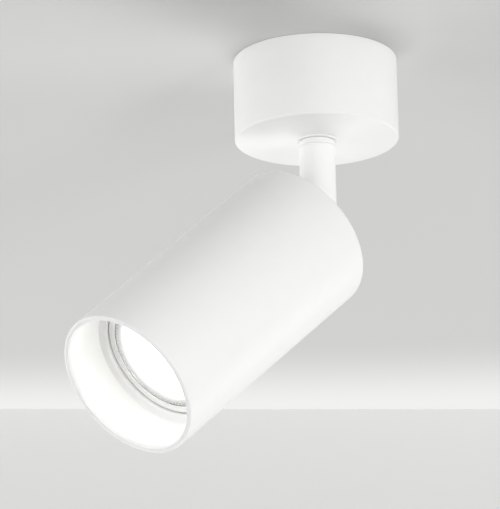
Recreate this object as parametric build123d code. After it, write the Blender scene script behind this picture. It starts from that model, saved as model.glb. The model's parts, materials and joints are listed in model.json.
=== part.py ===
from build123d import *
import math
import os

# A surface mounted ceiling spotlight: a round canopy, a short stem that turns in it, and a
# cylindrical head that tilts on the stem's lower end and holds a 50 mm twist-and-lock lamp.
# Sizes are millimetres and degrees. The origin is the middle of the ceiling face, +Z is up, and
# the head points to -Y. Head pieces are drawn in a frame of their own, whose origin is the tilt
# pivot, whose z runs forward along the head's axis and whose x is the tilt axis.

# Fits
flat_gap = 0.05  # between flat faces that turn on each other or are clamped together
seat_clearance = 0.05  # radial, between pieces that are fastened together
running_clearance = 0.05  # radial, in a pivot
free_clearance = 0.3  # between pieces that move past each other
past = 1.0  # how far a cutting body runs past what it cuts

# Canopy
canopy_radius = 32.0
canopy_height = 33.0
canopy_wall = 2.0
canopy_floor = 2.5
canopy_edge_radius = 0.8

# Ceiling bracket, a steel strip along X
bracket_thickness = 1.5
bracket_width = 22.0
bracket_rim_gap = 0.6  # to the canopy's inner wall
bracket_tab_gap = 1.0  # from a tab's outer face to the canopy's inner wall, on the X axis
bracket_tab_width = 9.0
bracket_tab_drop = 12.0
bracket_bend_radius = 1.2
supply_hole_radius = 8.0
ceiling_slot_length = 9.0
ceiling_slot_width = 4.5
ceiling_slot_margin = 3.0  # from the slot's outer end to the tab's inner face
hook_drop = 7.7  # from the ceiling to the hook's upper face
hook_pocket_depth = 1.0
hook_engagement = 0.7
hook_pocket_play = 0.4

# Canopy screw, a headless M4
canopy_screw_radius = 2.0
canopy_screw_length = 6.0
canopy_screw_drop = 7.0
canopy_screw_inset = 0.3  # from the canopy's outer face to the screw's end
canopy_screw_socket = 2.0  # across the flats
canopy_screw_socket_depth = 2.2

# Terminal block under the bracket's ear
block_length = 20.0
block_depth = 15.0
block_height = 12.5
block_rim_gap = 2.3
block_edge_radius = 0.8
pole_pitch = 10.0
pole_drop = 5.0  # from the block's top to the lead's axis
clamp_side = 4.4
clamp_length = 11.0
clamp_bore_radius = 1.25
wire_entry_radius = 1.7
terminal_screw_radius = 1.3
terminal_screw_spacing = 6.4
terminal_screw_recess = 0.6
terminal_well_radius = 1.6
screw_slot_width = 0.5
screw_slot_depth = 0.7
block_screw_radius = 1.4
block_screw_head_radius = 2.4
block_screw_head_height = 1.5
ear_length = 18.0

# Earth screw on the bracket, M4, with its washer and ring tag
earth_screw_radius = 2.0
earth_screw_head_radius = 3.4
earth_screw_head_height = 2.2
earth_screw_x = 12.5
earth_screw_y = -6.8
earth_washer_radius = 3.9
earth_washer_thickness = 0.8
earth_washer_teeth = 12
earth_tag_radius = 3.6
earth_tag_thickness = 0.7
earth_tag_angle = -120.0  # the way the tag's barrel points, about Z
earth_tag_reach = 6.2
tag_barrel_length = 4.0
tag_barrel_wall = 0.4

# Stem, with a threaded neck (M10 x 1, drawn at its outer size) through the canopy's floor
stem_radius = 7.0
stem_bore_radius = 3.0
stem_edge_chamfer = 0.3
neck_radius = 5.0
neck_key = 4.3  # from the axis to the neck's flat
neck_spare = 1.2  # neck above its nut

# Pan joint, from the canopy's bottom face down, then from its floor up
glide_washer_thickness = 0.6
glide_washer_rim = 0.8  # how far it shows round the stem
stem_collar_height = 2.4
stem_collar_step = 0.05  # how much slimmer than the stem
inner_washer_radius = 8.3
inner_washer_thickness = 0.8
disc_spring_radius = 8.4
disc_spring_sheet = 0.5
disc_spring_height = 1.1
stop_washer_radius = 8.0
stop_washer_thickness = 1.2
stop_tab_width = 2.4
stop_tab_overhang = 0.75  # how far the tab reaches past the pin
stop_pin_radius = 1.25
stop_pin_circle = 10.0
stop_pin_seat = 1.7
stop_pin_spare = 0.6
neck_nut_flats = 14.0
neck_nut_height = 5.0
neck_nut_chamfer = 0.5
neck_bush_wall = 0.45
neck_bush_flange = 4.5
neck_bush_flange_height = 0.8
neck_bush_length = 5.0

# Head tube
head_radius = 30.0
head_length = 110.0
head_wall = 2.5
head_rear_edge_radius = 1.2
head_front_edge_radius = 0.5
head_lip_width = 3.7  # the inward rim at the rear
head_lip_thickness = 1.5
rest_tilt = 49.0  # from straight down
head_canopy_gap = 3.6  # left when the head is level
head_stem_gap = 4.7

# Tilt joint: the stem's fork outside, the post's fork inside, the cable between
pocket_half_width = 4.5
pocket_reach = 4.5  # behind the tilt axis
pocket_root = 5.0  # above the tilt axis
inner_ear_radius = 4.2
cable_slot_floor = 5.5
tilt_washer_radius = 4.0
tilt_washer_thickness = 0.3
tilt_recess_depth = 1.7
tilt_recess_radius = 3.1
tilt_head_radius = 2.8
tilt_head_height = 1.25
tilt_shoulder_radius = 1.8
tilt_thread_radius = 1.5
tilt_socket = 2.0
tilt_socket_depth = 0.8

# Cable and leads
cable_radius = 2.1
cable_top_depth = 3.0  # below the neck's top
lead_radius = 0.95
lead_circle = 1.15  # the three leads' centres, where they lie together
lead_gap = 0.3  # between lengths that turn on each other
arc_share = 0.45  # of the shorter run that an arc takes
cable_strip = 1.0  # how far the cable's cover runs past the post's neck

# Rear plate, snap ring and post fixing
rear_plate_flange = 2.8
rear_plate_clearance = 0.2
snap_ring_thickness = 1.2
snap_ring_width = 2.5
snap_ring_bite = 0.7  # how far it enters the tube's wall
snap_ring_gap_angle = 40.0
snap_ring_lug_radius = 1.9
snap_ring_lug_hole = 0.8
snap_ring_lug_turn = 4.0  # from the gap's end to the lug's middle
post_edge_chamfer = 0.3
post_washer_radius = 8.0
post_washer_thickness = 1.0

# Lampholder and its bracket
holder_length = 33.0
holder_width = 18.0
holder_front_height = 10.9
holder_cover_height = 4.0
holder_edge_radius = 1.5
holder_sheet = 1.2
holder_bracket_width = 14.0
holder_bracket_half = 17.0
holder_foot_reach = 24.2
holder_foot_hole_x = 20.5
holder_window_length = 15.0
holder_window_width = 8.0
holder_screw_x = 13.0
holder_screw_grip = 6.6
holder_plate = 3.0  # the front wall that the lamp's pins hook behind
holder_chamber_floor = 7.3
m3_radius = 1.5
m3_head_radius = 2.75
m3_head_height = 2.0
m3_socket = 2.5
m3_plate_grip = 2.9

# Earth screw inside the head
plate_screw_y = -17.0
plate_tag_reach = 4.6

# Lamp: 50 mm reflector lamp with two pins on a 10 mm circle
lamp_radius = 25.0
lamp_length = 47.0  # from the bezel's face to the base's bottom
lamp_recess = 21.0  # from the head's front to the bezel's face
lamp_wall = 1.2
lamp_rim_depth = 7.5
lamp_neck_radius = 11.0
lamp_neck_length = 13.0
lamp_cone_radius = 12.5
lamp_bezel_width = 2.2
lamp_bezel_depth = 2.5
lamp_bezel_edge = 0.4
lamp_lens_thickness = 1.4
lamp_lens_recess = 0.4
lamp_optic_radius = 19.7
lamp_optic_back_radius = 15.0
lamp_optic_height = 12.0
lamp_board_radius = 17.0
lamp_board_thickness = 1.6
led_side = 3.0
led_height = 0.8
led_circle = 9.0
led_count = 6
heat_sink_height = 4.0
driver_width = 16.0
driver_height = 19.0
driver_thickness = 1.6
pin_circle = 5.0
pin_neck_radius = 1.15
pin_neck_length = 3.5
pin_head_radius = 2.4
pin_head_height = 3.0
pin_root = 2.5
lamp_twist = 25.0
contact_thickness = 0.4
contact_width = 3.6

# Baffle, the ring in the head's front end
baffle_wall = 1.3
baffle_corner_depth = 18.0
baffle_lamp_gap = 0.9
baffle_throat = 1.2
baffle_edge_chamfer = 0.2
o_ring_radius = 0.6
o_ring_groove_play = 0.1

# Places along Z
canopy_bottom = -canopy_height
floor_top = canopy_bottom + canopy_floor
canopy_inner_radius = canopy_radius - canopy_wall
glide_bottom = canopy_bottom - glide_washer_thickness
collar_top = glide_bottom - flat_gap
stem_top = collar_top - stem_collar_height - flat_gap
pivot_z = canopy_bottom - head_radius - head_canopy_gap
inner_washer_low = floor_top + flat_gap
disc_spring_low = inner_washer_low + inner_washer_thickness + flat_gap
stop_washer_low = disc_spring_low + disc_spring_height + flat_gap
pan_nut_low = stop_washer_low + stop_washer_thickness + flat_gap
neck_top = pan_nut_low + neck_nut_height + neck_spare
cable_top = neck_top - cable_top_depth

# Places along the tilt axis
inner_ear_outer = pocket_half_width - tilt_washer_thickness - 2 * flat_gap
cable_slot_half_width = cable_radius + free_clearance

# Places along the head's own axis, from the tilt pivot forward
head_rear = stem_radius + head_stem_gap
head_front = head_rear + head_length
head_inner_radius = head_radius - head_wall
lip_radius = head_radius - head_lip_width
plate_seat = head_rear + head_lip_thickness
plate_front = plate_seat + rear_plate_flange
post_shoulder = stem_radius + free_clearance
post_washer_low = plate_front + flat_gap
post_nut_low = post_washer_low + post_washer_thickness + flat_gap
post_end = post_nut_low + neck_nut_height + neck_spare
core_start = post_end + cable_strip
lamp_front = head_front - lamp_recess
lamp_base_bottom = lamp_front - lamp_length
holder_face = lamp_base_bottom - flat_gap
holder_back = holder_face - holder_front_height - holder_cover_height - flat_gap
holder_sheet_rear = holder_back - flat_gap - holder_sheet
baffle_rear = lamp_front - baffle_throat
counterbore_radius = head_inner_radius + head_wall / 2
baffle_radius = counterbore_radius - running_clearance
baffle_bore_radius = baffle_radius - baffle_wall
baffle_throat_radius = lamp_radius + baffle_lamp_gap

# Places across the canopy
stop_tab_reach = stop_pin_circle + stop_pin_radius + stop_tab_overhang
tab_outer = canopy_inner_radius - bracket_tab_gap
tab_inner = tab_outer - bracket_thickness
ceiling_slot_x = tab_inner - ceiling_slot_margin - ceiling_slot_length / 2
block_far = math.sqrt((canopy_inner_radius - block_rim_gap) ** 2 - (block_length / 2) ** 2)
block_near = block_far - block_depth
block_top = -bracket_thickness - flat_gap
lead_z = block_top - pole_drop
upper_tag_top = -bracket_thickness - flat_gap - earth_washer_thickness - flat_gap

head_frame = Pos(0, 0, pivot_z) * Rot(180 - rest_tilt, 0, 0)


def rod(radius, low, high):
    """A round bar along Z."""
    bottom = (Align.CENTER, Align.CENTER, Align.MIN)
    return Pos(0, 0, low) * Cylinder(radius, high - low, align=bottom)


def ring(outer, inner, low, high):
    """A flat ring about Z."""
    return rod(outer, low, high) - rod(inner, low - past, high + past)


def bar(x_low, x_high, y_low, y_high, z_low, z_high):
    """A rectangular block from its limits."""
    centre = Pos((x_low + x_high) / 2, (y_low + y_high) / 2, (z_low + z_high) / 2)
    return centre * Box(x_high - x_low, y_high - y_low, z_high - z_low)


def x_rod(radius, x_low, x_high, z=0.0):
    """A round bar along X."""
    return Pos(0, 0, z) * Rot(0, 90, 0) * rod(radius, x_low, x_high)


def y_rod(radius, y_low, y_high, x, z):
    """A round bar along Y."""
    return Pos(x, 0, z) * Rot(-90, 0, 0) * rod(radius, y_low, y_high)


def hex_bar(across_flats, low, high):
    """A hexagonal bar along Z."""
    outline = RegularPolygon(across_flats / 2, 6, major_radius=False)
    return Pos(0, 0, low) * extrude(outline, amount=high - low)


def keyed_rod(radius, key, low, high):
    """A round bar with a flat on its -Y side."""
    return rod(radius, low, high) - bar(-radius, radius, -radius - past, -key, low - past, high + past)


def turned(points):
    """A solid of revolution about Z from (radius, height) points."""
    outline = Polyline(*[(radius, 0, height) for radius, height in points], close=True)
    return revolve(make_face(outline), Axis.Z)


def group(pieces):
    """Like pieces that share a node, each still a solid of its own."""
    return Compound(children=list(pieces))


def mirrored_pair(piece):
    """A piece and its twin on the other side of the YZ plane."""
    return group([piece, mirror(piece, Plane.YZ)])


def lead(points, radius):
    """A round lead along straight runs joined by tangent arcs."""
    runs = [Vector(*end) - Vector(*start) for start, end in zip(points, points[1:])]
    radii = []
    for before, after in zip(runs, runs[1:]):
        half_turn = math.radians(before.get_angle(after) / 2)
        radii.append(arc_share * min(before.length, after.length) / math.tan(half_turn))
    path = FilletPolyline(*points, radius=radii)
    section = Plane(origin=path @ 0, z_dir=path % 0) * Circle(radius)
    print("lead radii", [round(r, 1) for r in radii], "length", round(path.length, 1))
    return sweep(section, path=path)


def lead_place(turn):
    """The x and y of one of the three leads where they lie together."""
    angle = math.radians(turn)
    return lead_circle * math.cos(angle), lead_circle * math.sin(angle)


# ---- Ceiling side -------------------------------------------------------------------------


def make_canopy():
    cup = rod(canopy_radius, canopy_bottom, 0)
    cup = fillet(cup.edges().group_by(Axis.Z)[0], canopy_edge_radius)
    cup -= rod(canopy_inner_radius, floor_top, past)
    cup -= rod(neck_radius + running_clearance, canopy_bottom - past, floor_top + past)
    pin_seat = rod(stop_pin_radius + seat_clearance, floor_top - stop_pin_seat, floor_top + past)
    cup -= Pos(0, stop_pin_circle, 0) * pin_seat
    pocket = ring(
        canopy_inner_radius + hook_pocket_depth,
        canopy_inner_radius - past,
        -hook_drop - bracket_thickness - hook_pocket_play,
        -hook_drop + hook_pocket_play,
    )
    half = bracket_tab_width / 2 + hook_pocket_play
    cup -= pocket & bar(0, canopy_radius, -half, half, canopy_bottom, 0)
    screw_hole = canopy_screw_radius + running_clearance
    cup -= x_rod(screw_hole, -canopy_radius - past, -canopy_inner_radius + past, -canopy_screw_drop)
    return cup


def make_ceiling_bracket():
    half_width = bracket_width / 2
    half_tab = bracket_tab_width / 2
    half_ear = ear_length / 2
    strip = bar(-tab_outer, tab_outer, -half_width, half_width, -bracket_thickness, 0)
    strip += bar(-half_ear, half_ear, half_width, block_far, -bracket_thickness, 0)
    strip &= rod(canopy_inner_radius - bracket_rim_gap, -bracket_thickness, 0)
    for side in (-1, 1):
        tab = bar(tab_inner, tab_outer, -half_tab, half_tab, -bracket_tab_drop, 0)
        strip += tab if side > 0 else mirror(tab, Plane.YZ)
    hook = bar(
        tab_inner,
        canopy_inner_radius + hook_engagement,
        -half_tab,
        half_tab,
        -hook_drop - bracket_thickness,
        -hook_drop,
    )
    strip += hook & rod(canopy_inner_radius + hook_engagement, -bracket_tab_drop, 0)
    bends = strip.edges().filter_by(Axis.Y).filter_by(
        lambda edge: edge.center().Z > -flat_gap and abs(abs(edge.center().X) - tab_outer) < flat_gap
    )
    strip = fillet(bends, bracket_bend_radius)
    strip -= rod(supply_hole_radius, -bracket_thickness - past, past)
    slot = SlotOverall(ceiling_slot_length, ceiling_slot_width)
    for side in (-1, 1):
        place = Pos(side * ceiling_slot_x, 0, -bracket_thickness - past)
        strip -= place * extrude(slot, amount=bracket_thickness + 2 * past)
    drill = rod(earth_screw_radius + seat_clearance, -bracket_thickness - past, past)
    strip -= Pos(earth_screw_x, earth_screw_y, 0) * drill
    drill = rod(block_screw_radius + seat_clearance, -bracket_thickness - past, past)
    strip -= Pos(0, (block_near + block_far) / 2, 0) * drill
    screw_hole = canopy_screw_radius + seat_clearance
    strip -= x_rod(screw_hole, -tab_outer - past, -tab_inner + past, -canopy_screw_drop)
    return strip


def make_canopy_screw():
    outer_end = canopy_radius - canopy_screw_inset
    screw = rod(canopy_screw_radius, -outer_end, canopy_screw_length - outer_end)
    screw = chamfer(screw.edges().group_by(Axis.Z)[-1], canopy_screw_inset)
    screw -= hex_bar(canopy_screw_socket, -outer_end - past, canopy_screw_socket_depth - outer_end)
    return Pos(0, 0, -canopy_screw_drop) * Rot(0, 90, 0) * screw


def pole_places():
    """The x of each pole of the terminal block."""
    return [-pole_pitch / 2, pole_pitch / 2]


def terminal_screw_places():
    """The x and y of each terminal screw."""
    middle = (block_near + block_far) / 2
    rows = [middle - terminal_screw_spacing / 2, middle + terminal_screw_spacing / 2]
    return [(x, y) for x in pole_places() for y in rows]


def make_terminal_block():
    half = block_length / 2
    bottom = block_top - block_height
    middle = (block_near + block_far) / 2
    body = bar(-half, half, block_near, block_far, bottom, block_top)
    body = fillet(body.edges().filter_by(Axis.Z), block_edge_radius)
    body = fillet(body.edges().group_by(Axis.Z)[0], block_edge_radius / 2)
    side = clamp_side / 2 + seat_clearance
    reach = clamp_length / 2 + seat_clearance
    for x in pole_places():
        body -= y_rod(wire_entry_radius, block_near - past, block_far + past, x, lead_z)
        body -= bar(x - side, x + side, middle - reach, middle + reach, lead_z - side, lead_z + side)
    for x, y in terminal_screw_places():
        body -= Pos(x, y, 0) * rod(terminal_well_radius, bottom - past, lead_z)
    body -= Pos(0, middle, 0) * rod(block_screw_radius + seat_clearance, bottom - past, past)
    sink = rod(block_screw_head_radius + seat_clearance, bottom - past, bottom + block_screw_head_height)
    body -= Pos(0, middle, 0) * sink
    return body


def make_terminal_clamps():
    side = clamp_side / 2
    middle = (block_near + block_far) / 2
    low = middle - clamp_length / 2
    high = middle + clamp_length / 2
    clamps = []
    for x in pole_places():
        clamp = bar(x - side, x + side, low, high, lead_z - side, lead_z + side)
        clamp -= y_rod(clamp_bore_radius, low - past, high + past, x, lead_z)
        clamps.append(clamp)
    drill = rod(terminal_screw_radius + seat_clearance, lead_z - clamp_side, lead_z)
    for x, y in terminal_screw_places():
        clamps = [clamp - Pos(x, y, 0) * drill for clamp in clamps]
    return group(clamps)


def make_terminal_screws():
    low = block_top - block_height + terminal_screw_recess
    screw = rod(terminal_screw_radius, low, lead_z - clamp_bore_radius)
    half = screw_slot_width / 2
    wide = terminal_screw_radius + past
    screw -= bar(-half, half, -wide, wide, low - past, low + screw_slot_depth)
    return group([Pos(x, y, 0) * screw for x, y in terminal_screw_places()])


def make_block_screw():
    bottom = block_top - block_height
    screw = rod(block_screw_head_radius, bottom, bottom + block_screw_head_height - flat_gap)
    screw += rod(block_screw_radius, bottom, 0)
    half = screw_slot_width / 2
    wide = block_screw_head_radius + past
    screw -= bar(-half, half, -wide, wide, bottom - past, bottom + screw_slot_depth)
    return Pos(0, (block_near + block_far) / 2, 0) * screw


def make_earth_screw():
    head_high = upper_tag_top - earth_tag_thickness - flat_gap
    head_low = head_high - earth_screw_head_height
    screw = rod(earth_screw_head_radius, head_low, head_high)
    screw = fillet(screw.edges().group_by(Axis.Z)[0], earth_screw_head_height / 3)
    screw += rod(earth_screw_radius, head_low + screw_slot_depth, 0)
    half = screw_slot_width
    wide = earth_screw_head_radius + past
    screw -= bar(-half, half, -wide, wide, head_low - past, head_low + screw_slot_depth)
    return Pos(earth_screw_x, earth_screw_y, 0) * screw


def toothed_washer(outer, inner, low, high, teeth):
    """A washer with notches round its rim."""
    washer = ring(outer, inner, low, high)
    notch = bar(outer - outer / 6, outer + past, -outer / teeth, outer / teeth, low - past, high + past)
    for step in range(teeth):
        washer -= Rot(0, 0, step * 360 / teeth) * notch
    return washer


def make_earth_washer():
    high = -bracket_thickness - flat_gap
    low = high - earth_washer_thickness
    bore = earth_screw_radius + seat_clearance
    washer = toothed_washer(earth_washer_radius, bore, low, high, earth_washer_teeth)
    return Pos(earth_screw_x, earth_screw_y, 0) * washer


def make_earth_tag():
    high = upper_tag_top
    low = high - earth_tag_thickness
    barrel_radius = lead_radius + seat_clearance + tag_barrel_wall
    tag = rod(earth_tag_radius, low, high)
    tag += bar(0, earth_tag_reach, -barrel_radius, barrel_radius, low, high)
    reach_end = earth_tag_reach + tag_barrel_length
    barrel_z = high - barrel_radius
    tag += x_rod(barrel_radius, earth_tag_reach - past, reach_end, barrel_z)
    tag -= x_rod(lead_radius + seat_clearance, earth_tag_reach, reach_end + past, barrel_z)
    tag -= rod(earth_screw_radius + seat_clearance, low - past, high + past)
    return Pos(earth_screw_x, earth_screw_y, 0) * Rot(0, 0, earth_tag_angle) * tag


def upper_lead(x, turn):
    """A supply lead from a pole of the block down into the stem's neck."""
    end_x, end_y = lead_place(turn)
    start_y = (block_near + block_far) / 2
    points = [
        (x, start_y, lead_z),
        (x, block_near - 5.0, lead_z),
        (0.75 * x, 0.5, lead_z - 3.0),
        (end_x, end_y, neck_top + 5.5),
        (end_x, end_y, cable_top + lead_gap),
    ]
    return lead(points, lead_radius)


def make_canopy_live_lead():
    return upper_lead(-pole_pitch / 2, 150)


def make_canopy_neutral_lead():
    return upper_lead(pole_pitch / 2, 30)


def make_canopy_earth_lead():
    end_x, end_y = lead_place(270)
    heading = math.radians(earth_tag_angle)
    start = earth_tag_reach + tag_barrel_length / 2
    far = earth_tag_reach + tag_barrel_length + 3.5
    z = upper_tag_top - lead_radius - seat_clearance - tag_barrel_wall
    points = [
        (earth_screw_x + start * math.cos(heading), earth_screw_y + start * math.sin(heading), z),
        (earth_screw_x + far * math.cos(heading), earth_screw_y + far * math.sin(heading), z),
        (-1.0, -21.5, z - 3.5),
        (-4.0, -15.0, z - 8.5),
        (end_x - 1.0, -6.5, neck_top + 6.5),
        (end_x, end_y, neck_top + 2.5),
        (end_x, end_y, cable_top + lead_gap),
    ]
    return lead(points, lead_radius)


def make_pan_stop_pin():
    top = pan_nut_low + stop_pin_spare
    return Pos(0, stop_pin_circle, 0) * rod(stop_pin_radius, floor_top - stop_pin_seat, top)


def make_glide_washer():
    washer = ring(stem_radius + glide_washer_rim, neck_radius + free_clearance, glide_bottom, canopy_bottom)
    return fillet(washer.edges().group_by(Axis.Z)[0].sort_by(SortBy.LENGTH)[-1], glide_washer_thickness / 2)


def make_inner_washer():
    high = inner_washer_low + inner_washer_thickness
    return ring(inner_washer_radius, neck_radius + free_clearance, inner_washer_low, high)


# ---- Stem and pan joint -------------------------------------------------------------------


def make_stem():
    tip = pivot_z - stem_radius
    stem = rod(stem_radius, tip, stem_top)
    stem = chamfer(stem.edges().group_by(Axis.Z)[-1], stem_edge_chamfer)
    rounded = x_rod(stem_radius, -stem_radius, stem_radius, pivot_z)
    stem &= rounded + rod(stem_radius + past, pivot_z, stem_top)
    stem += rod(neck_radius, stem_top - past, neck_top)
    key_low = stop_washer_low - flat_gap
    stem -= bar(-neck_radius, neck_radius, -neck_radius - past, -neck_key, key_low, neck_top + past)
    stem -= rod(stem_bore_radius, pivot_z, neck_top + past)
    side = pocket_half_width
    stem -= bar(-side, side, -stem_radius - past, pocket_reach, tip - past, pivot_z + pocket_root)
    reach = stem_radius + past
    stem -= x_rod(tilt_shoulder_radius + running_clearance, -reach, reach, pivot_z)
    for side in (-1, 1):
        recess = x_rod(tilt_recess_radius, stem_radius - tilt_recess_depth, reach, pivot_z)
        stem -= recess if side > 0 else mirror(recess, Plane.YZ)
    return stem


def make_stem_collar():
    radius = stem_radius - stem_collar_step
    collar = ring(radius, neck_radius + seat_clearance, collar_top - stem_collar_height, collar_top)
    rims = [edges.sort_by(SortBy.LENGTH)[-1] for edges in collar.edges().group_by(Axis.Z)]
    return chamfer([rims[0], rims[-1]], stem_edge_chamfer)


def make_disc_spring():
    inner = neck_radius + seat_clearance
    low = disc_spring_low
    high = low + disc_spring_height
    return turned(
        [
            (disc_spring_radius, low),
            (disc_spring_radius, low + disc_spring_sheet),
            (inner, high),
            (inner, high - disc_spring_sheet),
        ]
    )


def make_pan_stop_washer():
    low = stop_washer_low
    high = low + stop_washer_thickness
    half = stop_tab_width / 2
    washer = rod(stop_washer_radius, low, high)
    washer += bar(-half, half, -stop_tab_reach, 0, low, high)
    bore = keyed_rod(neck_radius + seat_clearance, neck_key + seat_clearance, low - past, high + past)
    return washer - bore


def neck_nut(low):
    """The thin nut of a threaded neck."""
    high = low + neck_nut_height
    nut = hex_bar(neck_nut_flats, low, high)
    crown = rod(neck_nut_flats / 2 + neck_nut_chamfer, low, high)
    crown = chamfer(crown.edges(), neck_nut_chamfer)
    return (nut & crown) - rod(neck_radius + seat_clearance, low - past, high + past)


def make_pan_nut():
    return neck_nut(pan_nut_low)


def make_neck_bush():
    outer = stem_bore_radius - seat_clearance
    low = neck_top - neck_bush_length
    base = neck_top + flat_gap
    bush = rod(outer, low, base) + rod(neck_bush_flange, base, base + neck_bush_flange_height)
    bush = fillet(bush.edges().group_by(Axis.Z)[-1], neck_bush_flange_height / 3)
    return bush - rod(outer - neck_bush_wall, low - past, base + neck_bush_flange_height + past)


def make_stem_cable():
    return rod(cable_radius, pivot_z, cable_top) + Pos(0, 0, pivot_z) * Sphere(cable_radius)


# ---- Tilt joint, in the head's frame ------------------------------------------------------


def make_swivel_post():
    ears = x_rod(inner_ear_radius, -inner_ear_outer, inner_ear_outer)
    across = inner_ear_radius
    ears += bar(-inner_ear_outer, inner_ear_outer, -across, across, 0, post_shoulder + past)
    slot = cable_slot_half_width
    ears -= bar(-slot, slot, -across - past, across + past, -across - past, cable_slot_floor)
    thread = tilt_thread_radius + seat_clearance
    ears -= x_rod(thread, -inner_ear_outer - past, inner_ear_outer + past)
    collar = rod(stem_radius, post_shoulder, head_rear - flat_gap)
    collar = chamfer(collar.edges(), post_edge_chamfer)
    post = ears + collar + keyed_rod(neck_radius, neck_key, head_rear - past, plate_front)
    post += rod(neck_radius, plate_front, post_end)
    return post - rod(slot, cable_slot_floor - past, post_end + past)


def make_tilt_washers():
    middle = (pocket_half_width + inner_ear_outer) / 2
    low = middle - tilt_washer_thickness / 2
    washer = x_rod(tilt_washer_radius, low, low + tilt_washer_thickness)
    washer -= x_rod(tilt_shoulder_radius + seat_clearance, low - past, middle + past)
    return mirrored_pair(washer)


def make_tilt_screws():
    head_low = stem_radius - tilt_recess_depth + flat_gap
    head_high = head_low + tilt_head_height
    screw = rod(tilt_head_radius, head_low, head_high)
    screw = chamfer(screw.edges().group_by(Axis.Z)[-1], tilt_head_height / 4)
    screw += rod(tilt_shoulder_radius, inner_ear_outer + flat_gap / 2, head_low)
    screw += rod(tilt_thread_radius, cable_slot_half_width + flat_gap, head_low)
    screw -= hex_bar(tilt_socket, head_high - tilt_socket_depth, head_high + past)
    return mirrored_pair(Rot(0, 90, 0) * screw)


# ---- Head, in the head's frame ------------------------------------------------------------


def make_head_tube():
    tube = rod(head_radius, head_rear, head_front)
    tube = fillet(tube.edges().group_by(Axis.Z)[0], head_rear_edge_radius)
    tube = fillet(tube.edges().group_by(Axis.Z)[-1], head_front_edge_radius)
    tube -= rod(lip_radius, head_rear - past, head_front)
    tube -= rod(head_inner_radius, plate_seat, head_front)
    tube -= rod(counterbore_radius, baffle_rear - flat_gap, head_front + past)
    groove_high = plate_front + 2 * flat_gap + snap_ring_thickness
    groove_radius = head_inner_radius + snap_ring_bite + seat_clearance
    return tube - rod(groove_radius, plate_front, groove_high)


def plate_screw_seat():
    """The tapped hole of the earth screw in the rear plate."""
    grip = plate_front - m3_plate_grip
    return Pos(0, plate_screw_y, 0) * rod(m3_radius + seat_clearance, grip - flat_gap, plate_front + past)


def make_rear_plate():
    plate = rod(lip_radius - rear_plate_clearance, head_rear, plate_seat + past)
    plate = chamfer(plate.edges().group_by(Axis.Z)[0], rear_plate_clearance)
    flange_low = plate_seat + flat_gap
    plate += rod(head_inner_radius - rear_plate_clearance, flange_low, plate_front)
    hole = neck_radius + seat_clearance
    plate -= keyed_rod(hole, neck_key + seat_clearance, head_rear - past, plate_front + past)
    drill = rod(m3_radius + seat_clearance, plate_front - m3_plate_grip - flat_gap, plate_front + past)
    for side in (-1, 1):
        plate -= Pos(side * holder_foot_hole_x, 0, 0) * drill
    return plate - plate_screw_seat()


def make_snap_ring():
    low = plate_front + flat_gap
    high = low + snap_ring_thickness
    outer = head_inner_radius + snap_ring_bite
    inner = outer - snap_ring_width
    body = ring(outer, inner, low, high)
    half_gap = outer * math.sin(math.radians(snap_ring_gap_angle / 2))
    body -= bar(-half_gap, half_gap, 0, outer + past, low - past, high + past)
    middle = (outer + inner) / 2 - snap_ring_lug_radius / 2
    for side in (-1, 1):
        turn = side * (snap_ring_gap_angle / 2 + snap_ring_lug_turn)
        place = Rot(0, 0, turn) * Pos(0, middle, 0)
        body += place * rod(snap_ring_lug_radius, low, high)
        body -= place * rod(snap_ring_lug_hole, low - past, high + past)
    return body


def make_post_washer():
    low = post_washer_low
    high = low + post_washer_thickness
    bore = neck_radius + seat_clearance
    return toothed_washer(post_washer_radius, bore, low, high, earth_washer_teeth)


def make_post_nut():
    return neck_nut(post_nut_low)


def make_lampholder_bracket():
    half_width = holder_bracket_width / 2
    half = holder_bracket_half
    foot_low = plate_front + flat_gap
    base_high = holder_sheet_rear + holder_sheet
    bracket = bar(-half, half, -half_width, half_width, holder_sheet_rear, base_high)
    leg_inner = half - holder_sheet
    foot_high = foot_low + holder_sheet
    leg = bar(leg_inner, half, -half_width, half_width, foot_low, base_high)
    leg += bar(leg_inner, holder_foot_reach, -half_width, half_width, foot_low, foot_high)
    hole = m3_radius + seat_clearance
    leg -= Pos(holder_foot_hole_x, 0, 0) * rod(hole, foot_low - past, foot_high + past)
    bracket += leg
    bracket += mirror(leg, Plane.YZ)
    bends = bracket.edges().filter_by(Axis.Y).filter_by(
        lambda edge: abs(abs(edge.center().X) - half) < flat_gap and edge.center().Z > holder_sheet_rear
    )
    bracket = fillet(bends, holder_sheet)
    long_half = holder_window_length / 2
    wide_half = holder_window_width / 2
    bracket -= bar(-long_half, long_half, -wide_half, wide_half, holder_sheet_rear - past, base_high + past)
    for side in (-1, 1):
        bracket -= Pos(side * holder_screw_x, 0, 0) * rod(hole, holder_sheet_rear - past, base_high + past)
    return bracket


def m3_screw(head_low, shank_end):
    """An M3 cap screw along +Z from its head at head_low to its tip."""
    head_high = head_low + m3_head_height
    screw = rod(m3_head_radius, head_low, head_high)
    screw = fillet(screw.edges().group_by(Axis.Z)[0], m3_head_height / 4)
    screw += rod(m3_radius, head_high - flat_gap, shank_end)
    return screw - hex_bar(m3_socket, head_low - past, head_low + m3_head_height / 2)


def turned_over(piece, low, high):
    """The same piece with its ends swapped between two heights."""
    return Pos(0, 0, low + high) * Rot(180, 0, 0) * piece


def make_bracket_screws():
    seat = plate_front + flat_gap + holder_sheet + flat_gap
    tip = plate_front - m3_plate_grip
    head_high = seat + m3_head_height
    screw = turned_over(m3_screw(tip, head_high), tip, head_high)
    return mirrored_pair(Pos(holder_foot_hole_x, 0, 0) * screw)


def holder_body(low, high):
    """A length of the lampholder's ceramic body."""
    half = holder_length / 2
    wide = holder_width / 2
    body = bar(-half, half, -wide, wide, low, high)
    return fillet(body.edges().filter_by(Axis.Z), holder_edge_radius)


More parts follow.
